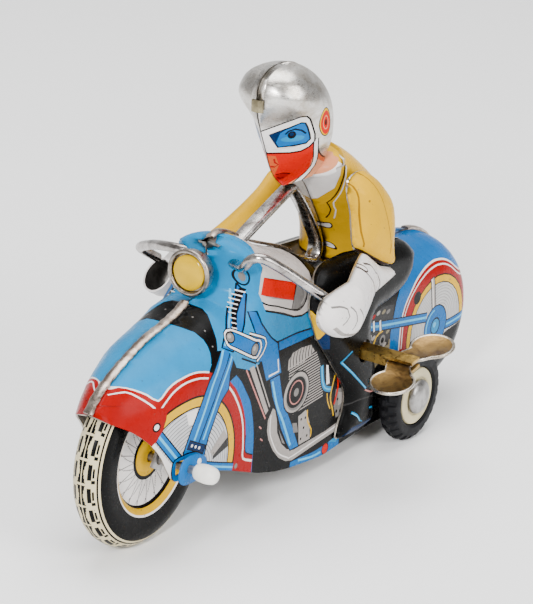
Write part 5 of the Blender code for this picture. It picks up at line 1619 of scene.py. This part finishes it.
# Metal and bevel of each piece that is kept from the frame
PLAIN_LOOKS = {
    "key_shaft": (BRASS, 0.25),
    "great_gear": (BRASS, 0.08),
    "second_gear": (BRASS, 0.08),
    "front_axle": (STEEL, 0.0),
    "front_fork": (STEEL, 0.12),
    "steering_bracket": (STEEL, 0.1),
    "drive_axle": (STEEL, 0.0),
    "drive_pinion": (STEEL, 0.06),
    "second_pinion": (STEEL, 0.06),
    "second_arbor": (STEEL, 0.0),
    "winding_arbor": (STEEL, 0.0),
    "motor_plate_left": (DARK_STEEL, 0.1),
    "motor_plate_right": (DARK_STEEL, 0.1),
    "motor_pillar_1": (DARK_STEEL, 0.0),
    "motor_pillar_2": (DARK_STEEL, 0.0),
    "motor_pillar_3": (DARK_STEEL, 0.0),
    "mainspring": (DARK_STEEL, 0.0),
}


def dress_plain_nodes():
    for node, (metal, edge) in PLAIN_LOOKS.items():
        made = frame["nodes"][node]
        made.data.materials.clear()
        made.data.materials.append(metal)
        if edge:
            bevel = made.modifiers.new("edges", "BEVEL")
            bevel.width = edge * MM
            bevel.segments = 2
            bevel.limit_method = "ANGLE"
            bevel.angle_limit = math.radians(40.0)


# ---------------------------------------------------------------- studio

FLOOR_FRONT = -2.2
FLOOR_HALF_WIDTH = 3.0
CURVE_START = 1.2
CURVE_RADIUS = 0.5
CURVE_STEPS = 12
WALL_TOP = 2.2


def build_studio():
    """A pale floor that curves up behind the toy, square to the camera."""
    path = [(FLOOR_FRONT, 0.0), (0.0, 0.0)]
    for step in range(CURVE_STEPS + 1):
        angle = math.radians(90.0 * step / CURVE_STEPS)
        along = CURVE_START + CURVE_RADIUS * math.sin(angle)
        path.append((along, CURVE_RADIUS - CURVE_RADIUS * math.cos(angle)))
    path.append((CURVE_START + CURVE_RADIUS, WALL_TOP))
    turn = Matrix.Rotation(CAMERA_TURN, 4, "Z")
    vertices = [
        turn @ Vector((side, along, height))
        for along, height in path
        for side in (-FLOOR_HALF_WIDTH, FLOOR_HALF_WIDTH)
    ]
    faces = [(2 * i, 2 * i + 1, 2 * i + 3, 2 * i + 2) for i in range(len(path) - 1)]
    mesh = bpy.data.meshes.new("studio_floor")
    mesh.from_pydata(vertices, [], faces)
    mesh.shade_smooth()
    made, tree, shader = shader_of("paper_floor")
    tone = ramp(tree, noise(tree, 3.0, 2.0), 0.3, (0.93, 0.93, 0.93), 0.7, (0.96, 0.96, 0.96))
    tree.links.new(tone, shader.inputs["Base Color"])
    shader.inputs["Roughness"].default_value = 0.7
    mesh.materials.append(made)
    floor = bpy.data.objects.new("studio_floor", mesh)
    bpy.context.scene.collection.objects.link(floor)


def soft_light(name, place, side, power):
    """A square light of the given side, in metres, that faces the toy."""
    data = bpy.data.lights.new(name, "AREA")
    data.shape = "RECTANGLE"
    data.size, data.size_y = side, side
    data.energy = power
    made = bpy.data.objects.new(name, data)
    made.location = place
    aim = Vector((0.0, 0.0, 0.05)) - Vector(place)
    made.rotation_euler = aim.to_track_quat("-Z", "Y").to_euler()
    bpy.context.scene.collection.objects.link(made)


def build_lights():
    soft_light("front_light", (0.28, -0.95, 0.55), 0.14, 14.0)
    soft_light("side_light", (0.95, -0.10, 0.55), 0.6, 11.0)
    soft_light("top_light", (-0.1, 0.15, 1.1), 0.9, 17.0)
    room = bpy.data.worlds.new("soft_room")
    room.use_nodes = True
    background = room.node_tree.nodes["Background"]
    background.inputs["Color"].default_value = (1.0, 1.0, 1.0, 1.0)
    background.inputs["Strength"].default_value = 0.42
    bpy.context.scene.world = room


def build_camera():
    data = bpy.data.cameras.new("photo_camera")
    data.sensor_width = 36.0
    data.sensor_fit = "AUTO"
    data.lens = CAMERA_LENS
    data.clip_start = 0.05
    made = bpy.data.objects.new("photo_camera", data)
    turn, drop, roll = CAMERA_TURN, CAMERA_DROP, CAMERA_ROLL
    back = Vector((math.sin(turn) * math.cos(drop), -math.cos(turn) * math.cos(drop), math.sin(drop)))
    right = Vector((math.cos(turn), math.sin(turn), 0.0))
    up = back.cross(right)
    across = right * math.cos(roll) + up * math.sin(roll)
    upward = up * math.cos(roll) - right * math.sin(roll)
    matrix = Matrix((across, upward, back)).transposed().to_4x4()
    matrix.translation = Vector(CAMERA_PLACE) * MM
    made.matrix_world = matrix
    bpy.context.scene.collection.objects.link(made)
    bpy.context.scene.camera = made


build_camera()
build_studio()
build_lights()
build_body()
build_seams()
build_headlamp()
build_handlebar()
build_loop()
build_rider()
build_collar()
build_helmet_tab()
build_fork_boss()
build_front_wheel()
build_drive_wheels()
build_key()
dress_plain_nodes()
